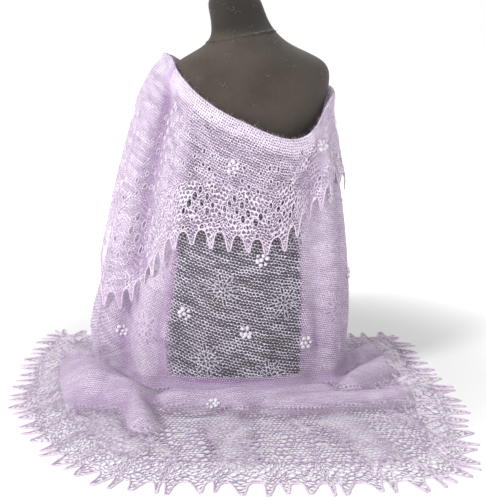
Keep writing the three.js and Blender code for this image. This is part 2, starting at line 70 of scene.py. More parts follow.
# The cloth's own surface, from the same sizes as its solids
cloth = {
    "trainTeeth": 82,
    "toothDepth": 0.040,
    "flapTeeth": 36,
    "flapToothDepth": 0.032,
    "swayPitch": 0.2,
    "swayWaves": ((1.0, 2.4), (0.6, 0.9)),
    "swayDepth": 0.16,
    "tipPlace": 2 / 3,
    "borderWidth": 0.092,
    "borderShare": 0.6,
    "edgeStep": 0.4,
    "turnRadius": 0.040,
    "topAngle": 157,
    "footAngle": 150,
    "steadyAngle": 60,
    "squareness": 2.15,
    "centre": (-0.015, -0.010),
    "foldFade": 0.060,
    "foldOverlap": 0.25,
    "creaseEnds": 0.35,
    "wall": 0.002,
    "thickness": 0.0011,
    "rimAngle": 55,
}

clothLevels = {
    "height": (0.040, 0.110, 0.160, 0.220, 0.330, 0.440, 0.540, 0.610, 0.660, 0.700, 0.735),
    "left": (0.352, 0.355, 0.347, 0.330, 0.303, 0.276, 0.247, 0.227, 0.213, 0.200, 0.171),
    "right": (0.236, 0.241, 0.242, 0.240, 0.231, 0.216, 0.197, 0.191, 0.199, 0.203, 0.190),
    "near": (0.176, 0.164, 0.158, 0.154, 0.146, 0.140, 0.136, 0.129, 0.125, 0.117, 0.102),
    "far": (0.178, 0.168, 0.163, 0.158, 0.152, 0.150, 0.150, 0.142, 0.128, 0.112, 0.098),
}

topFold = {
    "angle": (-180, -150, -125, -100, -75, -58, -41, -23, -8, 8, 21, 33, 46, 60, 75, 95, 130, 180),
    "height": (0.676, 0.694, 0.722, 0.735, 0.735, 0.724, 0.695, 0.648, 0.612, 0.580, 0.562, 0.556,
               0.566, 0.596, 0.634, 0.655, 0.672, 0.676),
}

flapEdge = {
    "angle": (-180, -130, -100, -75, -58, -46, -36, -28, -15, 8, 20, 33, 48, 62, 85, 110, 180),
    "height": (0.470, 0.430, 0.300, 0.205, 0.180, 0.200, 0.270, 0.320, 0.332, 0.312, 0.322, 0.366,
               0.410, 0.462, 0.440, 0.420, 0.470),
}
flapShape = {"top": 0.007, "middle": 0.013, "edge": 0.014, "rollRadius": 0.005, "rollGap": 0.0009}
flapSeam = 1.6  # where the flap's field ends and its border starts

# Upright folds: angle, half width in degrees, depth, bottom and top
uprightFolds = (
    (-142, 9, 0.009, 0.0, 0.700),
    (-118, 9, -0.010, 0.0, 0.690),
    (-96, 8, 0.010, 0.0, 0.700),
    (-78, 6, -0.011, 0.060, 0.640),
    (-62, 7, 0.012, 0.040, 0.700),
    (-46, 6, -0.024, 0.230, 0.690),
    (-49, 6, -0.020, 0.0, 0.240),
    (-36, 5, 0.016, 0.0, 0.280),
    (-24, 6, 0.007, 0.300, 0.620),
    (40, 6, -0.007, 0.0, 0.500),
    (55, 7, 0.013, 0.0, 0.560),
    (74, 6, -0.009, 0.030, 0.560),
    (90, 7, 0.007, 0.0, 0.600),
    (112, 9, -0.009, 0.0, 0.630),
    (138, 9, 0.009, 0.0, 0.640),
)

# Soft creases of the hanging cloth: angle and height of both ends, half width, depth
hangingCreases = (
    (-70, 0.690, -84, 0.120, 0.011, 0.0050),
    (-88, 0.700, -95, 0.080, 0.013, -0.0050),
    (-104, 0.690, -110, 0.060, 0.012, 0.0055),
    (-54, 0.640, -56, 0.120, 0.009, 0.0045),
    (-36, 0.620, -30, 0.330, 0.010, 0.0030),
    (-52, 0.705, -12, 0.500, 0.012, 0.0028),
    (-30, 0.640, 6, 0.470, 0.010, 0.0022),
    (56, 0.590, 22, 0.430, 0.010, 0.0040),
    (66, 0.600, 40, 0.400, 0.009, 0.0045),
    (48, 0.560, 2, 0.440, 0.013, 0.0025),
    (62, 0.560, 66, 0.070, 0.009, 0.0040),
    (82, 0.600, 82, 0.050, 0.012, 0.0050),
    (100, 0.620, 98, 0.060, 0.013, -0.0045),
    (124, 0.630, 126, 0.070, 0.013, 0.0050),
    (-132, 0.690, -130, 0.060, 0.013, 0.0045),
    (-20, 0.230, -34, 0.050, 0.015, 0.0045),
    (8, 0.190, 14, 0.050, 0.017, 0.0035),
    (30, 0.260, 40, 0.050, 0.013, 0.0045),
)

# The line through the points of the train's edging
trainOutline = (
    (-0.128, 0.246), (-0.300, 0.272), (-0.455, 0.300), (-0.520, 0.282), (-0.540, 0.150),
    (-0.543, 0.000), (-0.528, -0.100), (-0.528, -0.195), (-0.482, -0.325), (-0.418, -0.462),
    (-0.334, -0.578), (-0.224, -0.650), (-0.060, -0.662), (0.120, -0.667), (0.290, -0.655),
    (0.385, -0.628), (0.449, -0.552), (0.466, -0.450), (0.471, -0.360), (0.488, -0.230),
    (0.474, -0.098), (0.447, 0.060), (0.438, 0.180), (0.398, 0.264), (0.290, 0.274),
    (0.112, 0.246),
)

# Folds of the train: two places, half width, height
floorFolds = (
    (-0.150, -0.232, -0.010, -0.240, 0.034, 0.030),
    (-0.010, -0.240, 0.175, -0.192, 0.032, 0.028),
    (0.070, -0.262, 0.330, -0.212, 0.030, 0.024),
    (-0.365, -0.060, -0.330, -0.180, 0.066, 0.060),
    (-0.330, -0.180, -0.255, -0.222, 0.050, 0.046),
    (-0.232, -0.255, -0.204, -0.372, 0.024, 0.028),
    (0.262, 0.000, 0.402, 0.200, 0.034, 0.034),
    (0.240, -0.130, 0.392, 0.062, 0.030, 0.028),
    (0.338, -0.165, 0.440, -0.140, 0.020, 0.014),
    (-0.300, -0.330, -0.225, -0.470, 0.030, 0.009),
    (-0.040, -0.330, -0.010, -0.520, 0.032, 0.007),
    (0.200, -0.330, 0.260, -0.500, 0.032, 0.008),
    (-0.395, 0.060, -0.470, 0.180, 0.030, 0.012),
    (-0.215, 0.205, -0.270, 0.235, 0.024, 0.010),
)

# Finer creases of the train, laid over its folds
floorCreases = (
    (-0.110, -0.275, 0.040, -0.290, 0.012, 0.006),
    (0.060, -0.285, 0.250, -0.262, 0.012, 0.005),
    (-0.200, -0.400, -0.120, -0.540, 0.012, 0.004),
    (0.020, -0.330, -0.050, -0.500, 0.010, 0.004),
    (0.090, -0.300, 0.170, -0.470, 0.011, 0.004),
    (0.300, -0.250, 0.380, -0.400, 0.012, 0.005),
    (0.330, -0.050, 0.440, -0.020, 0.011, 0.006),
    (-0.400, -0.230, -0.330, -0.350, 0.012, 0.005),
    (-0.430, -0.060, -0.500, -0.020, 0.011, 0.005),
    (-0.330, 0.180, -0.400, 0.240, 0.012, 0.005),
    (0.250, 0.190, 0.330, 0.240, 0.012, 0.005),
)


def readTable(rows, key, column, at):
    x = np.array(rows[key], float)
    y = np.array(rows[column], float)
    slope = np.empty_like(y)
    slope[1:-1] = (y[2:] - y[:-2]) / (x[2:] - x[:-2])
    slope[0] = (y[1] - y[0]) / (x[1] - x[0])
    slope[-1] = (y[-1] - y[-2]) / (x[-1] - x[-2])
    at = np.clip(np.asarray(at, float), x[0], x[-1])
    row = np.clip(np.searchsorted(x, at, side="right") - 1, 0, len(x) - 2)
    width = x[row + 1] - x[row]
    share = (at - x[row]) / width
    square, cube = share**2, share**3
    return (
        (2 * cube - 3 * square + 1) * y[row]
        + (cube - 2 * square + share) * slope[row] * width
        + (3 * square - 2 * cube) * y[row + 1]
        + (cube - square) * slope[row + 1] * width
    )


def smooth(value, low, high):
    share = np.clip((value - low) / (high - low), 0, 1)
    return share * share * (3 - 2 * share)


def lerp(start, end, share):
    return start + (end - start) * share


def signedPower(value, power):
    return np.sign(value) * np.abs(value) ** power


def together(first, second):
    return np.broadcast_arrays(np.asarray(first, float), np.asarray(second, float))


def unitLength(vectors):
    return vectors / np.maximum(np.linalg.norm(vectors, axis=-1, keepdims=True), 1e-12)


# Lengths from the start, along one side of a grid of places
def runningLength(points, axis=0):
    total = np.cumsum(np.linalg.norm(np.diff(points, axis=axis), axis=-1), axis=axis)
    pad = [(0, 0)] * total.ndim
    pad[axis] = (1, 0)
    return np.pad(total, pad)


# How far along a short line each place is, and how far from it
def besideLine(x, y, ends, unit=1.0):
    x1, y1, x2, y2 = ends
    runX, runY = (x2 - x1) * unit, y2 - y1
    awayX, awayY = (x - x1) * unit, y - y1
    share = np.clip((awayX * runX + awayY * runY) / (runX**2 + runY**2), 0, 1)
    return share, np.hypot(awayX - share * runX, awayY - share * runY)


def traceOutline(perSegment=80):
    points = np.array(trainOutline)
    first = 2 * points[0] - points[1]
    last = 2 * points[-1] - points[-2]
    points = np.vstack([first, points, last])
    line = []
    for i in range(1, len(points) - 2):
        p0, p1, p2, p3 = points[i - 1:i + 3]
        d0, d1, d2 = (math.dist(a, b) ** 0.5 for a, b in ((p0, p1), (p1, p2), (p2, p3)))
        start = ((p1 - p0) / d0 - (p2 - p0) / (d0 + d1) + (p2 - p1) / d1) * d1
        end = ((p2 - p1) / d1 - (p3 - p1) / (d1 + d2) + (p3 - p2) / d2) * d1
        t = np.linspace(0, 1, perSegment, endpoint=False)[:, None]
        bend = p1 + start * t + (3 * (p2 - p1) - 2 * start - end) * t**2
        line.append(bend + (2 * (p1 - p2) + start + end) * t**3)
    line.append(points[-2:-1])
    line = np.vstack(line)
    return line, runningLength(line)


outlineLine, outlineLengths = traceOutline()


def outlineAt(column):
    teeth = cloth["trainTeeth"]
    free = np.minimum(np.minimum(column, teeth - column), 1)
    sway = sum(height * np.sin(pace * column) for height, pace in cloth["swayWaves"])
    place = np.clip((column + cloth["swayPitch"] * free * sway) / teeth, 0, 1) * outlineLengths[-1]
    x = np.interp(place, outlineLengths, outlineLine[:, 0])
    y = np.interp(place, outlineLengths, outlineLine[:, 1])
    return np.stack([x, y], -1)


def footAngleAt(column):
    point = outlineAt(np.asarray(column, float))
    return np.degrees(np.arctan2(point[..., 0] - cloth["centre"][0], cloth["centre"][1] - point[..., 1]))


footLeft = float(footAngleAt(0.0))
footRight = float(footAngleAt(float(cloth["trainTeeth"])))


def drapeAngleAt(column, share):
    angle = footAngleAt(column)
    edge = lerp(cloth["topAngle"], cloth["footAngle"], share)
    side = np.where(angle < 0, -footLeft, footRight)
    steady = cloth["steadyAngle"]
    along = (np.abs(angle) - steady) / (side - steady)
    return np.where(np.abs(angle) < steady, angle, np.sign(angle) * lerp(steady, edge, along))


def creaseAt(x, y, creases, unit=1.0):
    depth = np.zeros(np.broadcast(x, y).shape)
    for *ends, halfWidth, height in creases:
        share, away = besideLine(x, y, ends, unit)
        fade = lerp(cloth["creaseEnds"], 1, np.sin(np.pi * np.clip(share, 0.04, 0.96)))
        depth += height * fade * np.exp(-(away / halfWidth) ** 2)
    return depth


metresPerDegree = 0.0036  # of the hanging cloth, on average


def foldsAt(angle, height):
    depth = creaseAt(angle, height, hangingCreases, metresPerDegree)
    for at, halfWidth, reach, bottom, top in uprightFolds:
        across = (angle - at) / halfWidth
        foot = smooth(height, bottom, bottom + cloth["foldFade"]) if bottom > 0 else 1
        head = 1 - smooth(height, top - cloth["foldFade"], top)
        depth += reach * np.exp(-across**2) * foot * head
    return depth


def hangingPoint(angle, height, moveOut=0.0):
    turn = np.radians(angle)
    power = 2 / cloth["squareness"]
    reachX = np.where(angle < 0, readTable(clothLevels, "height", "left", height),
                      readTable(clothLevels, "height", "right", height))
    reachY = np.where(np.abs(angle) < 90, readTable(clothLevels, "height", "near", height),
                      readTable(clothLevels, "height", "far", height))
    x = reachX * signedPower(np.sin(turn), power)
    y = -reachY * signedPower(np.cos(turn), power)
    outX, outY = x / reachX**2, y / reachY**2
    length = np.hypot(outX, outY)
    out = foldsAt(angle, height) + moveOut
    return np.stack([x + outX / length * out, y + outY / length * out, height + 0 * x], -1)


def topFoldHeight(angle):
    return readTable(topFold, "angle", "height", angle)


def floorHeight(x, y):
    height = np.zeros(np.broadcast(x, y).shape)
    for *ends, halfWidth, top in floorFolds:
        fold = top * (1 - smooth(besideLine(x, y, ends)[1], 0, 2 * halfWidth))
        height = np.maximum(height, fold) + cloth["foldOverlap"] * np.minimum(height, fold)
    return height + creaseAt(x, y, floorCreases)


def rootAt(column):
    before = outlineAt(np.maximum(column - cloth["edgeStep"], 0))
    after = outlineAt(np.minimum(column + cloth["edgeStep"], cloth["trainTeeth"]))
    inward = np.stack([before[..., 1] - after[..., 1], after[..., 0] - before[..., 0]], -1)
    return outlineAt(column) + unitLength(inward) * cloth["toothDepth"]


# The cloth below the top fold: 0 to 1 hangs, 1 to 2 turns on to the floor, 2 to 3 lies on it
def clothPoint(column, part):
    column, part = together(column, part)
    hanging = np.clip(part, 0, 1)
    angle = drapeAngleAt(column, hanging)
    top = topFoldHeight(drapeAngleAt(column, 0.0))
    hangs = hangingPoint(angle, lerp(top, cloth["turnRadius"], hanging))
    foot = hangingPoint(drapeAngleAt(column, 1.0), np.full(column.shape, cloth["turnRadius"]))[..., :2]
    run = rootAt(column) - foot
    reach = np.linalg.norm(run, axis=-1)
    run /= reach[..., None]
    radius = cloth["turnRadius"]
    turning = np.clip(part - 1, 0, 1)
    lying = np.clip(part - 2, 0, 1)
    turn = np.radians(90 * turning)
    out = np.where(part <= 2, radius * (1 - np.cos(turn)), lerp(radius, reach, lying))
    flat = foot + run * out[..., None]
    fold = floorHeight(flat[..., 0], flat[..., 1])
    fade = smooth(reach * (3 - part), 0, cloth["foldFade"])
    z = np.where(part <= 2, radius * (1 - np.sin(turn)) + turning**2 * fold, fold * fade)
    lies = np.concatenate([flat, z[..., None]], -1)
    return np.where((part <= 1)[..., None], hangs, lies)


def borderStart(column):
    foot = hangingPoint(drapeAngleAt(column, 1.0), np.full(np.shape(column), cloth["turnRadius"]))[..., :2]
    reach = np.linalg.norm(rootAt(column) - foot, axis=-1) - cloth["turnRadius"]
    return 3 - np.minimum(cloth["borderWidth"] / reach, cloth["borderShare"])


# Flap: columns at equal lengths along its edge
def measureFlapEdge(fine=600):
    angles = np.linspace(-cloth["topAngle"], cloth["topAngle"], fine + 1)
    return angles, runningLength(hangingPoint(angles, readTable(flapEdge, "angle", "height", angles)))


flapAngles, flapLengths = measureFlapEdge()
flapPitch = flapLengths[-1] / cloth["flapTeeth"]


def flapAngleAt(tooth):
    return np.interp(np.asarray(tooth, float) * flapPitch, flapLengths, flapAngles)


def flapHeights(tooth):
    angle = flapAngleAt(tooth)
    head = topFoldHeight(angle) + flapShape["rollGap"]
    return angle, head, readTable(flapEdge, "angle", "height", angle) + cloth["flapToothDepth"]


# 0 to 1 rolls over the top fold, 1 to 2 goes down to the roots of the teeth
def flapPoint(tooth, part):
    tooth, part = together(tooth, part)
    angle, head, root = flapHeights(tooth)
    turn = np.pi * np.clip(part, 0, 1)
    rolled = flapShape["top"] / 2 * (1 - np.cos(turn))
    share = np.clip(part - 1, 0, 1)
    lift = lerp(flapShape["top"], flapShape["edge"], share)
    lowered = lift + (flapShape["middle"] - lift) * np.sin(np.pi * share)
    out = cloth["wall"] + np.where(part <= 1, rolled, lowered)
    height = np.where(part <= 1, head + flapShape["rollRadius"] * np.sin(turn), lerp(head, root, share))
    return hangingPoint(angle, height, out)


# Places of the cloth by tooth and by distance from the roots, which is negative on the teeth
def trainBorderPoint(tooth, inward):
    tooth, inward = together(tooth, inward)
    share = np.clip(inward / cloth["borderWidth"], 0, None)
    lying = clothPoint(tooth, lerp(3, borderStart(tooth), share))
    beyond = np.clip(-inward / cloth["toothDepth"], 0, 1.3)[..., None]
    root, tip = rootAt(tooth), outlineAt(tooth)
    reach = np.concatenate([lerp(root, tip, beyond), np.zeros(tooth.shape + (1,))], -1)
    return np.where((inward < 0)[..., None], reach, lying)


def flapBorderDrop(tooth):
    head, root = flapHeights(tooth)[1:]
    return (head - root) * (2 - flapSeam)


def flapBorderPoint(tooth, inward):
    tooth, inward = together(tooth, inward)
    share = np.clip(inward / flapBorderDrop(tooth), 0, None)
    point = flapPoint(tooth, 2 - share * (2 - flapSeam))
    point[..., 2] += np.minimum(inward, 0)
    return point


# Outward normals of a surface whose second place counts from the edge inward
def normalOf(surface, first, second, step=(0.04, 0.0015)):
    across = surface(first + step[0], second) - surface(first - step[0], second)
    along = surface(first, second - step[1]) - surface(first, second + step[1])
    return unitLength(np.cross(along, across))


# Grids of places become sheets. Eyelets are left out, and the cloth beside them is drawn on to their rims
def cutEyelets(first, second, eyelets):
    keep = np.ones((first.shape[0] - 1, first.shape[1] - 1), bool)
    middleA = (first[:-1, :-1] + first[1:, 1:]) / 2
    middleB = (second[:-1, :-1] + second[1:, 1:]) / 2
    for a, b, reachA, reachB in eyelets:
        hole = np.hypot((middleA - a) / reachA, (middleB - b) / reachB) < 1
        if not hole.any():
            continue
        keep &= ~hole
        beside = np.zeros(first.shape, bool)
        for i, j in ((0, 0), (1, 0), (0, 1), (1, 1)):
            beside[i:i + hole.shape[0], j:j + hole.shape[1]] |= hole
        far = np.hypot((first - a) / reachA, (second - b) / reachB)
        move = beside & (far > 0.2)
        first[move] = a + (first[move] - a) / far[move]
        second[move] = b + (second[move] - b) / far[move]
    return keep


def gridNormals(points):
    return unitLength(np.cross(np.gradient(points, axis=1), np.gradient(points, axis=0)))


# A sheet's middle lies on the outer skin of its solid's wall
def ontoWall(points, normals=None):
    normals = gridNormals(points) if normals is None else normals
    return points + normals * cloth["wall"] / 2


def newObject(name, vertices, faces, material):
    mesh = bpy.data.meshes.new(name)
    mesh.from_pydata(vertices.tolist(), [], faces)
    mesh.materials.append(material)
    mesh.shade_smooth()
    return addObject(name, mesh)


def pick(*pieces):
    bpy.ops.object.select_all(action="DESELECT")
    for piece in pieces:
        piece.select_set(True)
    bpy.context.view_layer.objects.active = pieces[0]


def joinPieces(pieces):
    pick(*pieces)
    bpy.ops.object.join()
    return bpy.context.active_object


def applyModifiers(piece):
    pick(piece)
    for modifier in list(piece.modifiers):
        bpy.ops.object.modifier_apply(modifier=modifier.name)


def readVectors(items, name):
    values = np.empty(len(items) * 3)
    items.foreach_get(name, values)
    return values.reshape(-1, 3)


# How far each place stands out of the cloth round it, from 0 in a valley to 1 on a ridge. The knit's colour is
# painted from it: painted shade in valleys and a painted highlight on ridges
def reliefOf(points, normals, reach=(5, 4), scale=0.0035):
    smoothed = points.copy()
    for axis, cells in zip((0, 1), reach):
        total = np.zeros_like(smoothed)
        last = smoothed.shape[axis] - 1
        start, end = np.take(smoothed, [0], axis), np.take(smoothed, [last], axis)
        shape = [-1 if number == axis else 1 for number in range(3)]
        for move in range(-cells, cells + 1):
            index = np.arange(last + 1) + move
            near = 2 * start - np.take(smoothed, np.clip(-index, 0, last), axis)
            far = 2 * end - np.take(smoothed, np.clip(2 * last - index, 0, last), axis)
            inside = np.take(smoothed, np.clip(index, 0, last), axis)
            under, over = (index < 0).reshape(shape), (index > last).reshape(shape)
            total += np.where(under, near, np.where(over, far, inside))
        smoothed = total / (2 * cells + 1)
    stands = ((points - smoothed) * normals).sum(-1)
    return np.clip(0.5 + stands / scale, 0, 1)


def addSheet(name, points, flat, material, keep=None, close=0.0, reach=(5, 4), edge=None, paintedShade=0.0, relief=None):
    columns, rows = points.shape[:2]
    index = np.arange(columns * rows).reshape(columns, rows)
    quads = np.stack([index[:-1, :-1], index[:-1, 1:], index[1:, 1:], index[1:, :-1]], -1)
    quads = quads[keep] if keep is not None else quads.reshape(-1, 4)
    used, corners = np.unique(quads, return_inverse=True)
    piece = newObject(name, points.reshape(-1, 3)[used], corners.reshape(-1, 4).tolist(), material)
    for title, places in (("flat", flat), ("edge", flat if edge is None else edge)):
        layer = piece.data.uv_layers.new(name=title)
        layer.data.foreach_set("uv", places.reshape(-1, 2)[used][corners.ravel()].astype(np.float32).ravel())
    relief = reliefOf(points, gridNormals(points), reach) if relief is None else relief
    # painted shade: what is taken off the relief here makes those places darker in the knit's colour
    facts = {"close": np.broadcast_to(close, (columns, rows)), "relief": np.clip(relief - paintedShade, 0, 1)}
    for title, values in facts.items():
        attribute = piece.data.attributes.new(title, "FLOAT", "POINT")
        attribute.data.foreach_set("value", values.ravel()[used].astype(np.float32))
    wall = piece.modifiers.new("wall", "SOLIDIFY")
    wall.thickness = cloth["thickness"]
    wall.offset = 0
    applyModifiers(piece)
    bpy.ops.object.shade_smooth_by_angle(angle=math.radians(cloth["rimAngle"]))
    piece.select_set(False)
    return piece


# Tubes of yarn: paths is lines x places x 3, ups gives which way their tops look
def tubeGeometry(paths, ups, radius, sides=5, closed=False):
    if closed:
        tangents = np.roll(paths, -1, axis=1) - np.roll(paths, 1, axis=1)
    else:
        tangents = np.gradient(paths, axis=1)
    tangents = unitLength(tangents)
    side = unitLength(np.cross(tangents, ups))
    top = np.cross(side, tangents)
    turn = 2 * np.pi * np.arange(sides) / sides
    radius = np.broadcast_to(radius, paths.shape[:2])[..., None, None]
    ring = top[:, :, None] * np.cos(turn)[:, None] + side[:, :, None] * np.sin(turn)[:, None]
    vertices = (paths[:, :, None] + radius * ring).reshape(-1, 3)
    lines, places = paths.shape[:2]
    index = np.arange(lines * places * sides).reshape(lines, places, sides)
    after = np.roll(index, -1, axis=1) if closed else index[:, 1:]
    before = index if closed else index[:, :-1]
    quads = np.stack([before, after, np.roll(after, -1, 2), np.roll(before, -1, 2)], -1)
    faces = quads.reshape(-1, 4).tolist()
    if not closed:
        for ends in (index[:, 0][:, ::-1], index[:, -1]):
            faces += ends.tolist()
    return vertices, faces


def addPiece(name, vertices, faces, material):
    piece = newObject(name, vertices, faces, material)
    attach(piece, "root")
    return piece


# Shader nodes: each helper adds its node to the tree of the sockets that it reads
def isSocket(value):
    return isinstance(value, bpy.types.NodeSocket)


def feed(node, values):
    for name, value in values.items():
        if isSocket(value):
            value.id_data.links.new(value, node.inputs[name])
        elif value is not None:
            node.inputs[name].default_value = value


def addNode(kind, values, tree=None, **settings):
    if tree is None:
        tree = next(value.id_data for value in values.values() if isSocket(value))
    node = tree.nodes.new("ShaderNode" + kind)
    for name, value in settings.items():
        setattr(node, name, value)
    feed(node, values)
    return node


def calc(operation, *values):
    return addNode("Math", dict(enumerate(values)), operation=operation).outputs[0]


add, sub, mul, mulAdd = (partial(calc, name) for name in ("ADD", "SUBTRACT", "MULTIPLY", "MULTIPLY_ADD"))


def lengthOf(x, y):
    return calc("SQRT", add(mul(x, x), mul(y, y)))


def fromMiddle(value):
    return calc("ABSOLUTE", sub(calc("FRACT", value), 0.5))


def ramp(value, low, high, start=0.0, end=1.0):
    values = {"Value": value, "From Min": low, "From Max": high, "To Min": start, "To Max": end}
    return addNode("MapRange", values, interpolation_type="SMOOTHSTEP").outputs["Result"]


def noise(vector, scale, detail=2.0, roughness=0.5, distortion=0.0, output="Fac"):
    values = {"Vector": vector, "Scale": scale, "Detail": detail, "Roughness": roughness, "Distortion": distortion}
    return addNode("TexNoise", values).outputs[output]


def vectorCalc(operation, first, second=None, scale=None, output="Vector"):
    return addNode("VectorMath", {0: first, 1: second, "Scale": scale}, operation=operation).outputs[output]


def split(vector):
    return addNode("SeparateXYZ", {0: vector}).outputs


# A Mix node's inputs 6 and 7 and its output 2 are its colours
def mixColor(share, first, second):
    return addNode("Mix", {0: share, 6: first, 7: second}, data_type="RGBA").outputs[2]


def bump(height, strength, distance):
    return addNode("Bump", {"Height": height, "Strength": strength, "Distance": distance}).outputs["Normal"]


def readUv(tree, name):
    return addNode("UVMap", {}, tree, uv_map=name).outputs["UV"]


def readAttribute(tree, name):
    return addNode("Attribute", {}, tree, attribute_name=name).outputs["Fac"]


def readPlace(tree):
    return addNode("TexCoord", {}, tree).outputs["Object"]


# Inputs with no value are vectors, and all else is a number
def startGroup(name, inputs, outputs):
    group = bpy.data.node_groups.new(name, "ShaderNodeTree")
    for title, value in inputs.items():
        kind = "NodeSocketVector" if value is None else "NodeSocketFloat"
        socket = group.interface.new_socket(name=title, in_out="INPUT", socket_type=kind)
        if value is not None:
            socket.default_value = value
    for title in outputs:
        group.interface.new_socket(name=title, in_out="OUTPUT", socket_type="NodeSocketFloat")
    return group, group.nodes.new("NodeGroupInput").outputs, group.nodes.new("NodeGroupOutput")


def placeGroup(group, values):
    return addNode("Group", values, node_tree=group).outputs


# Open knitted net: rows of holes set half a stitch apart, between strands that cross
stitch = {
    "shakeScale": 70,
    "shake": 4.0,
    "narrowing": 0.7,
    "streakScale": 60,
    "streaks": (0.86, 1.12),
    "strand": (-0.14, 0.20),
    "unevenScale": 150,
    "thinnest": 0.76,
    "knot": (0.85, 1.3),
}


def makeKnitNet():
    group, given, result = startGroup(
        "knitNet",
        {"Flat": None, "Cell Width": 0.0066, "Cell Height": 0.0062, "Opening": 0.66, "Unevenness": 0.26,
         "Wave Length": 0.04, "Wave Height": 0.0},
        ("Strand", "Knot", "Height"),
    )
    shake = noise(given["Flat"], stitch["shakeScale"], 2, 0.6, output="Color")
    shake = vectorCalc("SUBTRACT", shake, (0.5, 0.5, 0.5))
    amount = mul(mul(given["Unevenness"], given["Cell Width"]), stitch["shake"])
    place = split(vectorCalc("ADD", given["Flat"], vectorCalc("SCALE", shake, scale=amount)))
    wave = calc("SINE", mul(calc("DIVIDE", place["X"], given["Wave Length"]), 2 * math.pi))
    down = calc("DIVIDE", mulAdd(wave, given["Wave Height"], place["Y"]), given["Cell Height"])
    half = mul(calc("FLOORED_MODULO", calc("FLOOR", down), 2.0), 0.5)
    along = add(calc("DIVIDE", place["X"], given["Cell Width"]), half)
    x, y = (sub(calc("FRACT", value), 0.5) for value in (along, down))
    far = mul(lengthOf(mul(x, mulAdd(y, stitch["narrowing"], 1.0)), y), 2.0)
    streaks = noise(vectorCalc("MULTIPLY", given["Flat"], (0.3, 1.0, 1.0)), stitch["streakScale"], 1)
    opening = mul(given["Opening"], ramp(streaks, 0.3, 0.7, *stitch["streaks"]))
    uneven = ramp(noise(given["Flat"], stitch["unevenScale"], 1), 0.3, 0.6, stitch["thinnest"], 1.0)
    strand = mul(ramp(far, *(add(opening, more) for more in stitch["strand"])), uneven)
    knot = ramp(far, *stitch["knot"])
    feed(result, {"Strand": strand, "Knot": knot, "Height": mulAdd(knot, 0.5, strand)})
    return group


# Large stars of long open stitches, one in the middle of each repeat of the field
star = {"across": 0.142, "down": 0.165, "arms": 8, "halfWidth": 0.0023, "slits": ((0.012, 0.0042), (0.028, 0.0065)),
        "rim": 0.0012}


def makeLaceStars():
    group, given, result = startGroup(
        "laceStars", {"Flat": None, "Period Across": star["across"], "Period Down": star["down"]}, ("Slit", "Rim"))
    period = {"X": given["Period Across"], "Y": given["Period Down"], "Z": 1}
    period = addNode("CombineXYZ", period).outputs[0]
    share = vectorCalc("FRACTION", vectorCalc("DIVIDE", given["Flat"], period))
    place = split(vectorCalc("MULTIPLY", vectorCalc("SUBTRACT", share, (0.5, 0.5, 0.0)), period))
    far = lengthOf(place["X"], place["Y"])
    arm = mul(calc("ARCTAN2", place["Y"], place["X"]), star["arms"] / (2 * math.pi))
    lateral = mul(mul(fromMiddle(arm), far), 2 * math.pi / star["arms"])
    ends = (sub(calc("ABSOLUTE", sub(far, middle)), half) for middle, half in star["slits"])
    edge = calc("MAXIMUM", sub(lateral, star["halfWidth"]), calc("MINIMUM", *ends))
    rim = calc("ABSOLUTE", sub(edge, star["rim"]))
    feed(result, {"Slit": ramp(edge, 0.0004, -0.0004), "Rim": ramp(rim, 0.0013, 0.0004)})
    return group


# Lace: where a zigzag of large eyelets runs, by the distance from the edge
def makeLaceBands():
    group, given, result = startGroup(
        "laceBands",
        {"Edge": None, "Across": 0.083, "Inward": 0.115, "Width": 0.13, "Start": 0.02, "End": 0.2}, ("Band",))
    place = split(given["Edge"])
    across = calc("DIVIDE", place["X"], given["Across"])
    inward = calc("DIVIDE", place["Y"], given["Inward"])
    band = calc("MINIMUM", fromMiddle(add(across, inward)), fromMiddle(sub(across, mul(inward, 0.6))))
    band = ramp(band, add(given["Width"], 0.03), given["Width"])
    for title, beyond in (("Start", -0.01), ("End", 0.02)):
        band = mul(band, ramp(place["Y"], add(given[title], beyond), given[title]))
    feed(result, {"Band": band})
    return group


# Mohair: fine hairs over and between the stitches, and slow changes of tone
def makeMohair():
    group, given, result = startGroup("mohair", {"Vector": None, "Hair Scale": 900.0}, ("Hair", "Tone"))
    hair = calc("ABSOLUTE", sub(noise(given["Vector"], given["Hair Scale"], 3, distortion=1.6), 0.5))
    tone = noise(given["Vector"], 14, 3)
    feed(result, {"Hair": ramp(hair, 0.09, 0.0), "Tone": ramp(tone, 0.3, 0.72)})
    return group


knitNet = makeKnitNet()
laceStars = makeLaceStars()
laceBands = makeLaceBands()
mohair = makeMohair()

# Tones of yarn: deep, middle and light
lilacTones = ((0.52, 0.37, 0.58, 1.0), (0.78, 0.66, 0.82, 1.0), (0.94, 0.87, 0.96, 1.0))
duskTones = ((0.30, 0.20, 0.34, 1.0), (0.40, 0.29, 0.45, 1.0), (0.62, 0.51, 0.67, 1.0))
silverTones = ((0.40, 0.34, 0.46, 1.0), (0.66, 0.61, 0.72, 1.0), (0.88, 0.86, 0.93, 1.0))

# What the knit looks have in common. "fine" is the net where the cloth is drawn in
knit = {
    "turn": 0,
    "shift": (0, 0),
    "wave": (0.04, 0.0),
    "halo": 0.13,
    "stars": False,
    "band": None,
    "lace": None,
    "fine": (0.0058, 0.0047, 0.76),
    "tones": lilacTones,
    "closeTones": lilacTones[1:],
    "closeOpening": -0.22,
    "ridgeOpening": 0.16,
    # how far the painted shade in valleys goes towards the deep tone
    "valley": 0.8,
    "veil": 0.3,
}


def startMaterial(name):
    material = bpy.data.materials.new(name)
    material.use_nodes = True
    return material, material.node_tree, material.node_tree.nodes["Principled BSDF"]


def netWith(flat, cell, opening, wave):
    return placeGroup(knitNet, {"Flat": flat, "Cell Width": cell[0], "Cell Height": cell[1], "Opening": opening,
                                "Wave Length": wave[0], "Wave Height": wave[1]})


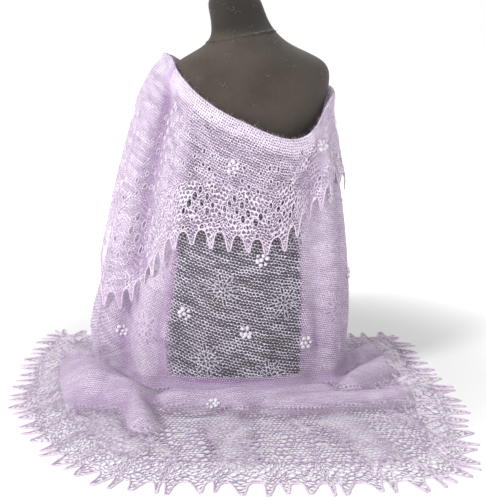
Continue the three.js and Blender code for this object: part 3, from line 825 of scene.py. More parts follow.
def clothMaterial(name, cell, opening, **own):
    look = {**knit, **own}
    material, tree, shader = startMaterial(name)
    uv = readUv(tree, "flat")
    turned = {"Vector": uv, "Location": (*look["shift"], 0), "Rotation": (0, 0, math.radians(look["turn"]))}
    flat = addNode("Mapping", turned).outputs["Vector"]
    close, relief = (readAttribute(tree, title) for title in ("close", "relief"))
    if look["band"]:
        low, high, narrow = look["band"]
        opening = ramp(split(uv)["Y"], low, high, opening, narrow)
    opening = mulAdd(close, look["closeOpening"], opening)
    opening = mulAdd(sub(relief, 0.5), look["ridgeOpening"], opening)
    net = netWith(flat, cell, opening, look["wave"])
    fibres = placeGroup(mohair, {"Vector": flat})
    strand, knot, height = (net[title] for title in ("Strand", "Knot", "Height"))
    if look["fine"]:
        fine = netWith(flat, look["fine"][:2], look["fine"][2], look["wave"])
        drawnIn = ramp(close, 0.3, 0.75)
        wider = sub(1.0, drawnIn)
        strand, knot, height = (add(mul(fine[title], drawnIn), mul(net[title], wider))
                                for title in ("Strand", "Knot", "Height"))
    if look["stars"]:
        stars = placeGroup(laceStars, {"Flat": flat})
        strand = mul(calc("MAXIMUM", strand, mul(stars["Rim"], 0.7)), mulAdd(stars["Slit"], -0.9, 1.0))
        knot = calc("MAXIMUM", knot, mul(stars["Rim"], 0.5))
    if look["lace"]:
        *largeCell, start, end = look["lace"]
        edge = readUv(tree, "edge")
        large = netWith(edge, largeCell, 0.74, (0.083, 0.004))
        bands = mul(placeGroup(laceBands, {"Edge": edge, "Start": start, "End": end})["Band"], ramp(close, 0.75, 0.3))
        hole = mul(bands, mulAdd(large["Strand"], -0.85, 0.85))
        ring = mul(bands, ramp(large["Strand"], 0.35, 0.9))
        strand = mul(calc("MAXIMUM", strand, mul(ring, 0.9)), sub(1.0, hole))
        knot = calc("MAXIMUM", knot, mul(ring, 0.8))
    # painted highlight: places that stand out, by their relief, get the lighter tone
    tone = add(mulAdd(fibres["Tone"], 0.4, mul(knot, 0.35)), mul(relief, 0.4))
    tinted = ramp(close, 0.0, 0.5)
    deep, middle, light = (mixColor(tinted, thin, dense) for thin, dense in
                           zip(look["tones"], (lilacTones[0], *look["closeTones"])))
    # the gaps between strands take the deep tone, and valleys take it by their relief, which is painted shade
    shade = calc("MAXIMUM", sub(1.0, strand), ramp(relief, 0.42, 0.02, 0.0, look["valley"]))
    halo = mulAdd(fibres["Hair"], look["halo"], look["halo"] * 0.6)
    veil = add(ramp(close, 0.35, 1.0, 0.0, look["veil"]), halo)
    feed(shader, {
        "Base Color": mixColor(shade, mixColor(tone, middle, light), deep),
        "Alpha": calc("MAXIMUM", mul(strand, 0.97), veil),
        "Normal": bump(mulAdd(fibres["Hair"], 0.25, height), 0.5, 0.001),
        "Roughness": 0.85,
        "Sheen Weight": 0.45,
        "Sheen Roughness": 0.45,
        "Sheen Tint": (0.95, 0.86, 0.98, 1.0),
    })
    return material


def yarnMaterial(name, dark, light, twist):
    material, tree, shader = startMaterial(name)
    fibres = placeGroup(mohair, {"Vector": readPlace(tree), "Hair Scale": twist})
    share = mulAdd(fibres["Hair"], 0.5, mul(fibres["Tone"], 0.5))
    feed(shader, {
        "Base Color": mixColor(share, dark, light),
        "Normal": bump(fibres["Hair"], 0.6, 0.0006),
        "Roughness": 0.8,
        "Sheen Weight": 0.6,
        "Sheen Roughness": 0.4,
        "Sheen Tint": (0.97, 0.88, 1.0, 1.0),
    })
    return material


jersey = {
    "dark": (0.040, 0.0305, 0.0245, 1),
    "light": (0.066, 0.052, 0.042, 1),
    "grain": (0.13, 0.115, 0.10, 1),
    "neck": (0.016, 0.014, 0.012, 1),
    "neckFrom": (0.775, 0.80),
}


def jerseyMaterial():
    material, tree, shader = startMaterial("formJersey")
    place = readPlace(tree)
    grain = noise(place, 700, 2, 0.7)
    color = mixColor(ramp(noise(place, 9, 3), 0.3, 0.7), jersey["dark"], jersey["light"])
    color = mixColor(ramp(grain, 0.45, 0.75, 0.0, 0.45), color, jersey["grain"])
    color = mixColor(ramp(split(place)["Z"], *jersey["neckFrom"], 0.0, 0.75), color, jersey["neck"])
    feed(shader, {
        "Base Color": color,
        "Normal": bump(grain, 0.35, 0.0006),
        "Roughness": 0.9,
        "Specular IOR Level": 0.25,
        "Sheen Weight": 0.18,
        "Sheen Roughness": 0.5,
    })
    return material


# Cell sizes in metres and how open the net is. "lace" is its large cells, and where their zigzag starts and ends
field = {"turn": 12, "shift": (0.0126, -0.0979)}
fieldMaterial = clothMaterial("knitField", (0.0080, 0.0066), 0.93, halo=0.08, stars=True, tones=silverTones,
                              closeTones=((0.66, 0.54, 0.71, 1.0), (0.86, 0.77, 0.89, 1.0)), **field)
trainMaterial = clothMaterial("knitTrain", (0.0100, 0.0104), 0.92, turn=-6, halo=0.05, tones=duskTones,
                              closeTones=((0.50, 0.38, 0.56, 1.0), (0.86, 0.77, 0.90, 1.0)),
                              lace=(0.0150, 0.0190, 0.085, 0.25))
flapMaterial = clothMaterial("knitFlap", (0.0068, 0.0058), 0.84, band=(-0.052, -0.036, 0.5),
                             lace=(0.0096, 0.0104, 0.02, 0.105))
flapLaceMaterial = clothMaterial("knitFlapLace", (0.0074, 0.0066), 0.84, wave=(0.04, 0.005),
                                 lace=(0.0096, 0.0104, -0.004, 0.105))
laceMaterial = clothMaterial("knitLace", (0.0110, 0.0120), 0.92, wave=(0.0415, 0.007), halo=0.05, tones=duskTones,
                             fine=None)
rimMaterial = yarnMaterial("laceYarn", *lilacTones[1:], 1300)
edgeMaterial = yarnMaterial("edgeYarn", (0.80, 0.62, 0.80, 1.0), lilacTones[2], 1100)
fuzzMaterial = yarnMaterial("mohairHairs", (0.78, 0.68, 0.82, 1), (0.90, 0.84, 0.93, 1), 300)
bobbleMaterial = yarnMaterial("bobbleYarn", (0.82, 0.74, 0.86, 1), (0.96, 0.92, 0.98, 1), 900)
formMaterial = jerseyMaterial()
lintMaterial = yarnMaterial("lintHairs", (0.16, 0.14, 0.12, 1), (0.42, 0.38, 0.35, 1), 300)
print("materials ready")

stretches = {"names": ("front_left", "left", "back", "right", "front_right"), "train": (-125, -45, 44, 120),
             "flap": (-112, -42, 46, 115)}


# Stretches of the train's columns, and of the flap's teeth, as the solids have them
def stretchesOf(angleAt, angles, count):
    places = [next(n for n in range(count) if float(angleAt(float(n))) >= angle) for angle in angles]
    places = [0, *places, count]
    return list(zip(stretches["names"], places[:-1], places[1:]))


trainStretches = stretchesOf(footAngleAt, stretches["train"], cloth["trainTeeth"])
flapStretches = stretchesOf(flapAngleAt, stretches["flap"], cloth["flapTeeth"])


def steps(start, end, each):
    return np.linspace(start, end, round((end - start) * each) + 1)


def declare(piece, node, withPieces=()):
    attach(piece, "root")
    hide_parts(node)


chance = np.random.default_rng(7)

# Flowers of seven bobbles, made once and copied to every other crossing of the repeat
flower = {"bobble": 0.0048, "ring": 0.0108, "flatness": 0.62, "sizes": (0.75, 1.15), "astray": 0.0011,
          "lift": 0.0016, "within": 0.005}


def makeFlower():
    places = [(0.0, 0.0)]
    places += [(flower["ring"] * math.cos(a), flower["ring"] * math.sin(a)) for a in np.arange(6) * math.pi / 3]
    bobbles = []
    for number, (x, y) in enumerate(places):
        bpy.ops.mesh.primitive_uv_sphere_add(segments=10, ring_count=6, radius=flower["bobble"], location=(0, 0, 0))
        bobbles.append(bpy.context.active_object)
        wide = 1 + 0.14 * math.sin(2.6 * number)
        bobbles[-1].data.transform(Matrix.Diagonal((wide, 2 - wide, flower["flatness"], 1)))
        bobbles[-1].data.transform(Matrix.Translation((x, y, 0)))
    made = joinPieces(bobbles)
    made.data.shade_smooth()
    made.data.materials.append(bobbleMaterial)
    return made


flowerModel = makeFlower()


def addFlower(name, place, normal):
    mesh = flowerModel.data.copy()
    bobbles = readVectors(mesh.vertices, "co").reshape(7, -1, 3)
    middles = bobbles.mean(1, keepdims=True) * (1, 1, 0)
    size = chance.uniform(*flower["sizes"], (7, 1, 1))
    astray = chance.normal(size=(7, 1, 3)) * (flower["astray"], flower["astray"], 0)
    mesh.vertices.foreach_set("co", (middles + astray + (bobbles - middles) * size).ravel())
    mesh.transform(Matrix.Rotation(chance.uniform(0, math.pi / 3), 4, "Z"))
    turn = Vector(normal).to_track_quat("Z", "Y").to_matrix().to_4x4()
    mesh.transform(Matrix.Translation(Vector(place) + Vector(normal) * flower["lift"]) @ turn)
    piece = addObject(name, mesh)
    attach(piece, "root")
    return piece


def flowersOn(name, points, normals, flat, turn, shift, spread=(1, 1), seen=None):
    angle = math.radians(turn)
    periodAcross, periodDown = star["across"] * spread[0], star["down"] * spread[1]
    across = (flat[..., 0] * math.cos(angle) - flat[..., 1] * math.sin(angle) + shift[0]) / periodAcross
    down = (flat[..., 0] * math.sin(angle) + flat[..., 1] * math.cos(angle) + shift[1]) / periodDown
    made = []
    for n in range(math.floor(across.min()), math.ceil(across.max()) + 1):
        for m in range(math.floor(down.min()), math.ceil(down.max()) + 1):
            far = np.hypot((across - n) * periodAcross, (down - m) * periodDown)
            place = np.unravel_index(far.argmin(), far.shape)
            edge = min(place[0], place[1], far.shape[0] - 1 - place[0], far.shape[1] - 1 - place[1])
            if far[place] < flower["within"] and edge > 3 and (seen is None or seen[place]):
                flowerName = f"{name}_flower_{len(made) + 1}"
                made.append(addFlower(flowerName, points[place], normals[place]))
    return made


# Mohair that stands off the cloth: fine tapered hairs
fuzz = {"length": 0.0095, "width": 0.00024, "lengths": (0.4, 1.3), "spread": 0.9, "bend": 0.45, "drapeCount": 16000,
        "flapCount": 16000}


def addFuzz(name, points, normals, count):
    count = round(count)
    cell = np.linalg.norm(np.cross(points[1:, :-1] - points[:-1, :-1], points[:-1, 1:] - points[:-1, :-1]), axis=-1)
    picked = chance.choice(cell.size, count, p=cell.ravel() / cell.sum())
    column, row = np.unravel_index(picked, cell.shape)
    root = points[column, row] + (points[column + 1, row + 1] - points[column, row]) * chance.random((count, 1))
    out = unitLength(normals[column, row] + fuzz["spread"] * chance.normal(size=(count, 3)))
    out *= np.sign((out * normals[column, row]).sum(-1, keepdims=True))
    bend = chance.normal(size=(count, 3)) * fuzz["bend"]
    long = fuzz["length"] * chance.uniform(*fuzz["lengths"], (count, 1))
    side = np.cross(out, chance.normal(size=(count, 3)))
    side *= fuzz["width"] / 2 / np.linalg.norm(side, axis=-1, keepdims=True)
    middle = root + out * long * 0.5
    tip = root + (out + bend) * long
    vertices = np.stack([root - side, root + side, middle + side * 0.8, middle - side * 0.8, tip], 1).reshape(-1, 3)
    start = 5 * np.arange(count)[:, None]
    faces = (start + [0, 1, 2, 3]).tolist() + (start + [3, 2, 4]).tolist()
    return addPiece(name, vertices, faces, fuzzMaterial)


# Hanging part of the cloth. Its sides are drawn in closely from the first angle to the second.
# Shadows: angle, half width, depth, and the heights between which they fade upwards
drape = {
    "perTooth": 4,
    "rows": 92,
    "closeness": 0.95,
    "rightSide": (28, 33),
    "leftSide": (24, 29),
    "openFold": (-65, 10, 0.55),
    "farSide": (90, 125, 0.4),
    "shadows": ((-65, 9, 0.75, 0.34, 0.26), (-29, 4, 0.35, 9.0, 8.0)),
    "slope": 0.9,
}


def bulge(values, middle, halfWidth):
    return np.exp(-((values - middle) / halfWidth) ** 2)


def closenessOf(angles):
    middle, halfWidth, less = drape["openFold"]
    start, end, share = drape["farSide"]
    close = drape["closeness"] * (smooth(angles, *drape["rightSide"]) + smooth(-angles, *drape["leftSide"]))
    return (close - less * bulge(angles, middle, halfWidth)) * (1 - share * smooth(np.abs(angles), start, end))


drapeColumns = steps(0, cloth["trainTeeth"], drape["perTooth"])
drapeParts = np.linspace(0, 1, drape["rows"])
drapePoints = clothPoint(drapeColumns[:, None], drapeParts[None, :])
drapeNormals = gridNormals(drapePoints)
drapePoints = ontoWall(drapePoints, drapeNormals)
across = runningLength(drapePoints)
across = across - across[int(np.argmin(np.abs(drapePoints[:, -1, 0])))]
down = runningLength(drapePoints, 1)
drapeFlat = np.stack([across, down[:, -1:] - down - drape["slope"] * np.minimum(across, 0) ** 2], -1)
drapeAngles = drapeAngleAt(drapeColumns[:, None], drapeParts[None, :])
drapeClose = closenessOf(drapeAngles)
drapeRelief = reliefOf(drapePoints, drapeNormals)
drapeSeen = drapePoints[..., 2] < readTable(flapEdge, "angle", "height", drapeAngles)
# painted shadows on the hanging cloth: taken off its relief, they darken it there
drapePaintedShade = sum(depth * bulge(drapeAngles, middle, halfWidth) * smooth(drapePoints[..., 2], high, low)
                for middle, halfWidth, depth, high, low in drape["shadows"])
for name, start, end in trainStretches:
    cut = slice(start * drape["perTooth"], end * drape["perTooth"] + 1)
    points, normals, flat = drapePoints[cut], drapeNormals[cut], drapeFlat[cut]
    piece = addSheet(f"drape_{name}_knit", points, flat, fieldMaterial, None, drapeClose[cut],
                     paintedShade=drapePaintedShade[cut], relief=drapeRelief[cut])
    flowers = flowersOn(f"drape_{name}", points, normals, flat, **field, seen=drapeSeen[cut])
    hairCount = fuzz["drapeCount"] * (end - start) / cloth["trainTeeth"]
    hairs = addFuzz(f"drape_{name}_hairs", points, normals, hairCount)
    declare(piece, f"drape_{name}", [*flowers, hairs])
print("hanging cloth ready")

# Train: turns on to the floor and lies on it, up to the lace border
train = {"perTooth": 6, "turnRows": 10, "lyingRows": 40, "closeness": 1.05, "closeHeights": (0.002, 0.026),
         "flowers": {"turn": 0, "shift": (0.060, 0.275), "spread": (3, 2)}}
trainColumns = steps(0, cloth["trainTeeth"], train["perTooth"])
starts = borderStart(trainColumns)
turnParts = np.linspace(1, 2, train["turnRows"])[None, :].repeat(len(trainColumns), 0)
lyingShares = np.linspace(0, 1, train["lyingRows"] + 1)[1:]
trainParts = np.hstack([turnParts, lerp(2, starts[:, None], lyingShares)])
trainPoints = ontoWall(clothPoint(trainColumns[:, None], trainParts))
foot = trainPoints[:, 0, :2]
run = unitLength(rootAt(trainColumns) - foot)
down = runningLength(trainPoints, 1)
trainFlat = foot[:, None] + run[:, None] * down[..., None]
trainPitch = float(outlineLengths[-1] / cloth["trainTeeth"])
trainEdge = np.stack([trainColumns[:, None] * trainPitch + 0 * down, down[:, -1:] - down + cloth["borderWidth"]], -1)
trainRelief = reliefOf(trainPoints, gridNormals(trainPoints))
trainClose = train["closeness"] * smooth(trainPoints[..., 2], *train["closeHeights"])
for name, start, end in trainStretches:
    cut = slice(start * train["perTooth"], end * train["perTooth"] + 1)
    points = trainPoints[cut]
    piece = addSheet(f"train_{name}_knit", points, trainFlat[cut], trainMaterial, None, trainClose[cut],
                     edge=trainEdge[cut], relief=trainRelief[cut])
    flowers = flowersOn(f"train_{name}", points, gridNormals(points), points, **train["flowers"])
    declare(piece, f"train_{name}", flowers)
print("train ready")

# Pointed edging: the outline of one tooth, cut into equal lengths
tooth = {"steps": 14, "rows": 9, "lean": 0.12, "inset": 0.015, "soft": 0.02, "broadFrom": (0.3, 0.75),
         "thickening": 0.22}
toothShapes = ({"bay": -0.22, "blunt": 1.55, "narrow": 3.3}, {"bay": -0.30, "blunt": 1.02, "narrow": 1.2})


def toothProfile(shape, pitch, depth, fine=240):
    x = np.linspace(-0.5, 0.5, fine + 1)
    soft = np.sqrt(x**2 + tooth["soft"] ** 2) - tooth["soft"]
    finger = shape["blunt"] * np.clip(1 - 2 * soft, 0, 1) ** shape["narrow"]
    reach = shape["bay"] + (1 - shape["bay"]) * finger / (1 + finger**6) ** (1 / 6)
    lengths = runningLength(np.stack([x * pitch, reach * depth], -1))
    return x, reach, lengths / lengths[-1]


# Fingers with wide bays on the near edge, broad points where the edge runs to the sides
def toothEdge(column, pitch, depth, broadness=None):
    shifted = column - (cloth["tipPlace"] - 0.5)
    number = np.floor(shifted)
    share = shifted - number
    broad = broadness(number + cloth["tipPlace"]) if broadness else 0.0
    at, out = 0.0, 0.0
    for shape, part in zip(toothShapes, (1 - broad, broad)):
        x, reach, lengths = toothProfile(shape, pitch, depth)
        at = at + part * np.interp(share, lengths, x)
        out = out + part * np.interp(share, lengths, reach)
    sway = 1 + cloth["swayDepth"] * np.sin(1.7 * number)
    lean = tooth["lean"] * np.sin(3.1 * number + 0.7)
    return number + cloth["tipPlace"] + at + lean * out, out * sway


def trainBroadness(column):
    sideways = np.abs((rootAt(column) - outlineAt(column))[..., 0])
    return smooth(sideways / cloth["toothDepth"], *tooth["broadFrom"])


trainTeeth = {"pitch": trainPitch, "depth": cloth["toothDepth"], "broadness": trainBroadness}
flapTeeth = {"pitch": flapPitch, "depth": cloth["flapToothDepth"]}

# Lace repeat of two teeth: eyelets by tooth, distance from the roots and half sizes
laceRepeat = (
    (0.17, 0.011, 0.0046, 0.0052),
    (1.17, 0.011, 0.0050, 0.0056),
    (0.62, 0.024, 0.0036, 0.0048),
    (1.66, 0.026, 0.0036, 0.0046),
    (0.10, 0.040, 0.0056, 0.0082),
    (0.38, 0.053, 0.0058, 0.0088),
    (0.66, 0.066, 0.0056, 0.0084),
    (0.94, 0.079, 0.0050, 0.0074),
    (0.80, 0.042, 0.0044, 0.0066),
    (1.08, 0.056, 0.0052, 0.0080),
    (1.36, 0.069, 0.0052, 0.0080),
    (1.63, 0.081, 0.0044, 0.0062),
    (1.42, 0.041, 0.0052, 0.0080),
    (1.70, 0.055, 0.0050, 0.0072),
)


laceMargin, laceWidening = 0.16, 0.16  # of a tooth kept free at both ends, and of the eyelets' width


def eyeletsFor(start, end, pitch, width):
    found = []
    for number in range(int(start) // 2 * 2 - 2, int(end) + 2, 2):
        for place, inward, reachA, reachB in laceRepeat:
            at = number + place
            wide = 1 + laceWidening * math.sin(2.3 * at + 40 * inward)
            if start + laceMargin < at < end - laceMargin:
                across = inward * width / cloth["borderWidth"]
                found.append((at, across, reachA / pitch * wide, reachB * wide))
    return found


rim = {"radius": 0.00105, "places": 12, "lift": 0.0004}


def addRims(name, eyelets, surface):
    turn = 2 * np.pi * np.arange(rim["places"]) / rim["places"]
    holes = np.array(eyelets)
    first = holes[:, 0:1] + holes[:, 2:3] * np.cos(turn)
    second = holes[:, 1:2] + holes[:, 3:4] * np.sin(turn)
    normals = normalOf(surface, first, second)
    points = surface(first, second) + normals * (cloth["wall"] / 2 + rim["lift"])
    vertices, faces = tubeGeometry(points, normals, rim["radius"], closed=True)
    return addPiece(name, vertices, faces, rimMaterial)


border = {"perTooth": 14, "rows": 24, "flapRows": 20, "flapInset": 0.009}


# A lace border: its rows run to the inset with the eyelets cut out, and its teeth follow
def addLace(node, columns, second, eyelets, surface, teeth, look, close=0.0, reach=(5, 4)):
    first = np.repeat(columns[:, None], second.shape[1], 1)
    inset = second[0, -1]
    keep = cutEyelets(first, second, eyelets)
    edgeColumn, out = toothEdge(columns, **teeth)
    shares = np.linspace(0, 1, tooth["rows"] + 1)[1:]
    first = np.hstack([first, lerp(columns[:, None], edgeColumn[:, None], shares)])
    second = np.hstack([second, lerp(inset, -out[:, None] * teeth["depth"], shares)])
    keep = np.hstack([keep, np.ones((len(columns) - 1, tooth["rows"]), bool)])
    points = ontoWall(surface(first, second))
    flat = np.stack([first * teeth["pitch"], second], -1)
    piece = addSheet(f"{node}_knit", points, flat, look, keep, close, reach)
    declare(piece, node, [addRims(f"{node}_rims", eyelets, surface)])


def addEdgeYarn(name, surface, count, radius, teeth):
    columns = steps(0, count, tooth["steps"])
    at, reach = toothEdge(columns, **teeth)
    normals = normalOf(surface, columns, np.full(columns.shape, 0.004))
    points = ontoWall(surface(at, -reach * teeth["depth"]), normals)
    thick = radius * (1 + tooth["thickening"] * np.sin(2.2 * np.arange(len(columns))))
    vertices, faces = tubeGeometry(points[None], normals[None], thick[None], sides=6)
    addPiece(name, vertices, faces, edgeMaterial)


for name, start, end in trainStretches:
    columns = steps(start, end, border["perTooth"])
    inward = np.tile(np.linspace(cloth["borderWidth"], tooth["inset"], border["rows"] + 1), (len(columns), 1))
    eyelets = eyeletsFor(start, end, trainPitch, cloth["borderWidth"])
    addLace(f"border_{name}", columns, inward, eyelets, trainBorderPoint, trainTeeth, laceMaterial)
addEdgeYarn("train_edge_yarn", trainBorderPoint, cloth["trainTeeth"], 0.0021, trainTeeth)
print("lace border ready")

# Flap, turned down over the top fold. Its lace: places by tooth, and distances above its border
flap = {"perTooth": 14, "rollRows": 7, "rows": 48, "leftSide": (44, 52, 0.55), "rightSide": (40, 52, 0.7),
        "pleat": (-48, 3.6, 1.1), "reach": (12, 4), "valley": (-50, -22), "eyelet": (0.0040, 0.0052),
        "margin": 0.2, "topMargin": 0.045}
flapFlowers = ((3.4, 1.36), (8.3, 1.30), (20.85, 1.3875), (27.6, 1.33), (32.8, 1.40))
flapLace = ((0.25, 0.016), (0.62, 0.026), (1.0, 0.036), (1.38, 0.026), (1.75, 0.016), (0.45, 0.055), (0.98, 0.064),
            (1.5, 0.055))
valleyLace = ((0.3, 0.085), (0.8, 0.100), (0.35, 0.117), (0.85, 0.134), (0.3, 0.152), (0.8, 0.170), (0.4, 0.190))


def flapClose(columns):
    angle = flapAngleAt(columns)[:, None]
    left, right = flap["leftSide"], flap["rightSide"]
    return left[2] * smooth(-angle, *left[:2]) + right[2] * smooth(angle, *right[:2])


def flapEyelets(start, end):
    found = []
    for number in range(int(start) // 2 * 2 - 2, int(end) + 2):
        chart = flapLace if number % 2 == 0 else ()
        chart += valleyLace if flap["valley"][0] < float(flapAngleAt(number + 0.5)) < flap["valley"][1] else ()
        drop = float(flapBorderDrop(number + 0.5))
        for place, beyond in chart:
            inside = start + flap["margin"] < number + place < end - flap["margin"]
            if inside and beyond < 1.5 * drop - flap["topMargin"]:
                wide = 1 + 0.15 * math.sin(2.9 * (number + place) + 60 * beyond)
                reachA, reachB = flap["eyelet"]
                found.append((number + place, drop + beyond, reachA / flapPitch * wide, reachB * wide))
    return found


def addFlap(name, start, end):
    columns = steps(start, end, flap["perTooth"])
    drop = flapBorderDrop(columns)[:, None]
    parts = np.linspace(1, flapSeam, flap["rows"])[None, :]
    first, second = columns[:, None] + 0 * parts, (2 - parts) * (drop / (2 - flapSeam))
    eyelets = flapEyelets(start, end)
    keep = cutEyelets(first, second, eyelets)
    roll = flapPoint(columns[:, None], np.linspace(0, 1, flap["rollRows"])[None, :-1])
    points = np.hstack([roll, flapBorderPoint(first, second)])
    keep = np.hstack([np.ones((len(columns) - 1, flap["rollRows"] - 1), bool), keep])
    normals = gridNormals(points)
    points = ontoWall(points, normals)
    down = runningLength(points, 1)
    across = columns[:, None] * flapPitch + 0 * down
    flat, edge = np.stack([across, -down], -1), np.stack([across, down[:, -1:] - down + drop], -1)
    # painted shade along the flap's left pleat: angle, half width and depth taken off the relief
    middle, halfWidth, depth = flap["pleat"]
    paintedShade = depth * bulge(flapAngleAt(columns), middle, halfWidth)[:, None]
    piece = addSheet(f"{name}_knit", points, flat, flapMaterial, keep, flapClose(columns), flap["reach"], edge, paintedShade)
    rims = addRims(f"{name}_rims", eyelets, flapBorderPoint)
    hairs = addFuzz(f"{name}_hairs", points, normals, fuzz["flapCount"] * (end - start) / cloth["flapTeeth"])
    flowers = []
    for at, part in flapFlowers:
        if start < at < end:
            inward = (2 - part) * float(flapBorderDrop(at)) / (2 - flapSeam)
            normal = normalOf(flapBorderPoint, np.array([at]), np.array([inward]))[0]
            flowerName = f"{name}_flower_{len(flowers) + 1}"
            flowers.append(addFlower(flowerName, flapPoint(at, part), normal))
    declare(piece, name, [rims, hairs, *flowers])


def addFlapBorder(name, start, end):
    columns = steps(start, end, border["perTooth"])
    inward = lerp(border["flapInset"], flapBorderDrop(columns)[:, None], np.linspace(1, 0, border["flapRows"] + 1))
    eyelets = []
    for at, across, reachA, reachB in eyeletsFor(start, end, flapPitch, 1.0):
        wide = float(flapBorderDrop(at))
        eyelets.append((at, across * wide, reachA, reachB * min(wide / cloth["borderWidth"], 1.1)))
    addLace(name, columns, inward, eyelets, flapBorderPoint, flapTeeth, flapLaceMaterial,
            flapClose(columns), flap["reach"])


for name, start, end in flapStretches:
    addFlap(f"flap_{name}", start, end)
bpy.data.objects.remove(flowerModel)
for name, start, end in flapStretches:
    addFlapBorder(f"flap_border_{name}", start, end)
addEdgeYarn("flap_edge_yarn", flapBorderPoint, cloth["flapTeeth"], 0.0015, flapTeeth)
print("flap ready")

# Pointed edging down the open front edges, which hang on the far side
front = {"teeth": 11, "strip": 0.006, "depth": 0.032, "perTooth": 14, "rows": 8, "yarn": 0.0013, "pitch": 0.05,
         "parts": (0.02, 0.98), "hollow": 1.3}


def frontPoint(direction, place, out):
    place, out = together(place, out)
    column = np.full(place.shape, float(cloth["trainTeeth"]) if direction > 0 else 0.0)
    part = lerp(*front["parts"], np.clip(place / front["teeth"], 0, 1))
    root = clothPoint(column, part)
    return root + unitLength(root - clothPoint(column - direction * 0.2, part)) * out[..., None]


def addFrontEdging(name, direction):
    places = steps(0, front["teeth"], front["perTooth"])[::-direction]
    share = places - np.floor(places)
    reach = np.clip(1 - 2 * np.abs(share - 0.5), 0, 1)
    reach = lerp(front["strip"], front["depth"], reach ** front["hollow"])
    shares = np.linspace(0, 1, front["rows"] + 1)
    points = ontoWall(frontPoint(direction, places[:, None], reach[:, None] * shares))
    flat = np.stack([places[:, None] * front["pitch"] + 0 * shares, reach[:, None] * shares], -1)
    piece = addSheet(f"{name}_knit", points, flat, laceMaterial)
    vertices, faces = tubeGeometry(points[None, :, -1], gridNormals(points)[None, :, -1], front["yarn"], sides=6)
    yarn = addPiece(f"{name}_yarn", vertices, faces, edgeMaterial)
    declare(piece, name, [yarn])


addFrontEdging("edging_front_left", -1)
addFrontEdging("edging_front_right", 1)
print("front edging ready")

# The form: a smooth torso and neck under one grey jersey, with a tilted seam round the neck
form = {"levels": 2, "join": 0.7862, "seam": (0.0, 0.0, 0.780), "seamTilt": (-0.162, 0.0, 0.987), "seamWidth": 0.0026,
        "seamHeight": 0.0012, "merge": 0.0022, "sharp": 60, "crease": 0.9}


def makeForm():
    solids = (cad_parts[node].data for node in ("form_body", "form_neck"))
    piece = joinPieces([addObject("form_jersey", data.copy()) for data in solids])
    bpy.ops.object.mode_set(mode="EDIT")
    bpy.ops.mesh.select_mode(type="FACE")
    bpy.ops.mesh.select_all(action="SELECT")
    bpy.ops.mesh.remove_doubles(threshold=0.0001)
    bpy.ops.mesh.select_all(action="DESELECT")
    bpy.ops.object.mode_set(mode="OBJECT")
    height = readVectors(piece.data.polygons, "center")[:, 2]
    piece.data.polygons.foreach_set("select", np.abs(height - form["join"]) < 0.0004)
    bpy.ops.object.mode_set(mode="EDIT")
    bpy.ops.mesh.delete(type="FACE")
    bpy.ops.mesh.select_all(action="SELECT")
    bpy.ops.mesh.remove_doubles(threshold=form["merge"])
    bpy.ops.mesh.tris_convert_to_quads()
    bpy.ops.mesh.normals_make_consistent(inside=False)
    bpy.ops.mesh.select_all(action="DESELECT")
    bpy.ops.mesh.edges_select_sharp(sharpness=math.radians(form["sharp"]))
    bpy.ops.transform.edge_crease(value=form["crease"])
    bpy.ops.object.mode_set(mode="OBJECT")
    finer = piece.modifiers.new("finer", "SUBSURF")
    finer.levels = finer.render_levels = form["levels"]
    applyModifiers(piece)
    bpy.ops.object.mode_set(mode="EDIT")
    bpy.ops.mesh.select_mode(type="EDGE")
    bpy.ops.mesh.select_all(action="SELECT")
    bpy.ops.mesh.bisect(plane_co=form["seam"], plane_no=form["seamTilt"])
    bpy.ops.mesh.bevel(offset=form["seamWidth"], segments=2)
    bpy.ops.transform.shrink_fatten(value=form["seamHeight"])
    bpy.ops.object.mode_set(mode="OBJECT")
    piece.data.materials.clear()
    piece.data.materials.append(formMaterial)
    piece.data.shade_smooth()
    piece.select_set(False)
    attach(piece, "root")
    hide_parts("form_body", "form_neck")
    return piece


# Stray hairs that cling to the form's jersey
lint = {"count": 140, "above": 0.52, "turns": (1.5, 4.5), "sizes": (0.0015, 0.006), "lift": 0.0009, "radius": 0.00016}


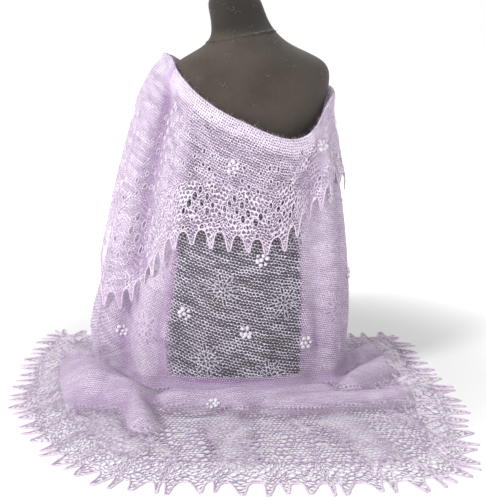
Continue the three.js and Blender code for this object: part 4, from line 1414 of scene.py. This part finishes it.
def addLint(piece):
    count = lint["count"]
    corners, normals = (readVectors(piece.data.vertices, title) for title in ("co", "normal"))
    picked = chance.choice(np.flatnonzero(corners[:, 2] > lint["above"]), count)
    root, up = corners[picked][:, None], normals[picked]
    first = unitLength(np.cross(up, chance.normal(size=(count, 3))))
    second = np.cross(up, first)
    turn = chance.uniform(*lint["turns"], (count, 1, 1)) * np.linspace(0, 1, 9)[None, :, None]
    size = chance.uniform(*lint["sizes"], (count, 1, 1))
    up = up[:, None]
    paths = root + size * (first[:, None] * np.sin(turn) + second[:, None] * (1 - np.cos(turn))) + up * lint["lift"]
    vertices, faces = tubeGeometry(paths, up + 0 * paths, lint["radius"], sides=3)
    addPiece("form_lint", vertices, faces, lintMaterial)


addLint(makeForm())
print("form ready")

# Pale floor, which grows brighter with the distance by a painted glow of its own, and soft lights: place, disk size
# and power
floor = {"size": 60, "color": (0.84, 0.84, 0.84, 1), "glow": (0.45, 1.25, 0.0, 0.85)}
lights = {
    "key": ((-2.0, -1.9, 2.0), 0.9, 88),
    "fill": ((2.2, -1.8, 1.5), 1.6, 12),
    "top": ((0.3, 0.9, 2.8), 1.4, 24),
}
lightAim = (0, 0, 0.3)
worldStrength = 0.42


def addFloor():
    bpy.ops.mesh.primitive_plane_add(size=floor["size"], location=(0, 0, 0))
    plane = bpy.context.active_object
    plane.name = "floor"
    material, tree, shader = startMaterial("paleFloor")
    far = vectorCalc("LENGTH", readPlace(tree), output="Value")
    feed(shader, {
        "Base Color": floor["color"],
        "Emission Color": (1, 1, 1, 1),
        # painted light: the floor glows more with the distance from the middle
        "Emission Strength": ramp(far, *floor["glow"]),
        "Roughness": 0.7,
        "Specular IOR Level": 0.15,
    })
    plane.data.materials.append(material)


def addLight(name, place, size, power):
    data = bpy.data.lights.new(name, "AREA")
    data.shape = "DISK"
    data.size = size
    data.energy = power
    light = addObject(name, data)
    aimAt(light, place, lightAim)


def addWorld(strength):
    world = bpy.data.worlds.new("studio")
    world.use_nodes = True
    seen = addNode("LightPath", {}, world.node_tree).outputs["Is Camera Ray"]
    feed(world.node_tree.nodes["Background"],
         {"Color": (1, 1, 1, 1), "Strength": mulAdd(seen, 1.0 - strength, strength)})
    bpy.context.scene.world = world


addFloor()
for name, light in lights.items():
    addLight(name, *light)
addWorld(worldStrength)
bpy.context.scene.view_settings.view_transform = "Standard"
bpy.context.scene.cycles.transparent_max_bounces = 16
print("stage ready")

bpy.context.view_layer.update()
shown = [o for o in bpy.context.scene.objects if o.type == "MESH" and not o.hide_render]
print("triangles", sum(len(p.vertices) - 2 for o in shown for p in o.data.polygons))
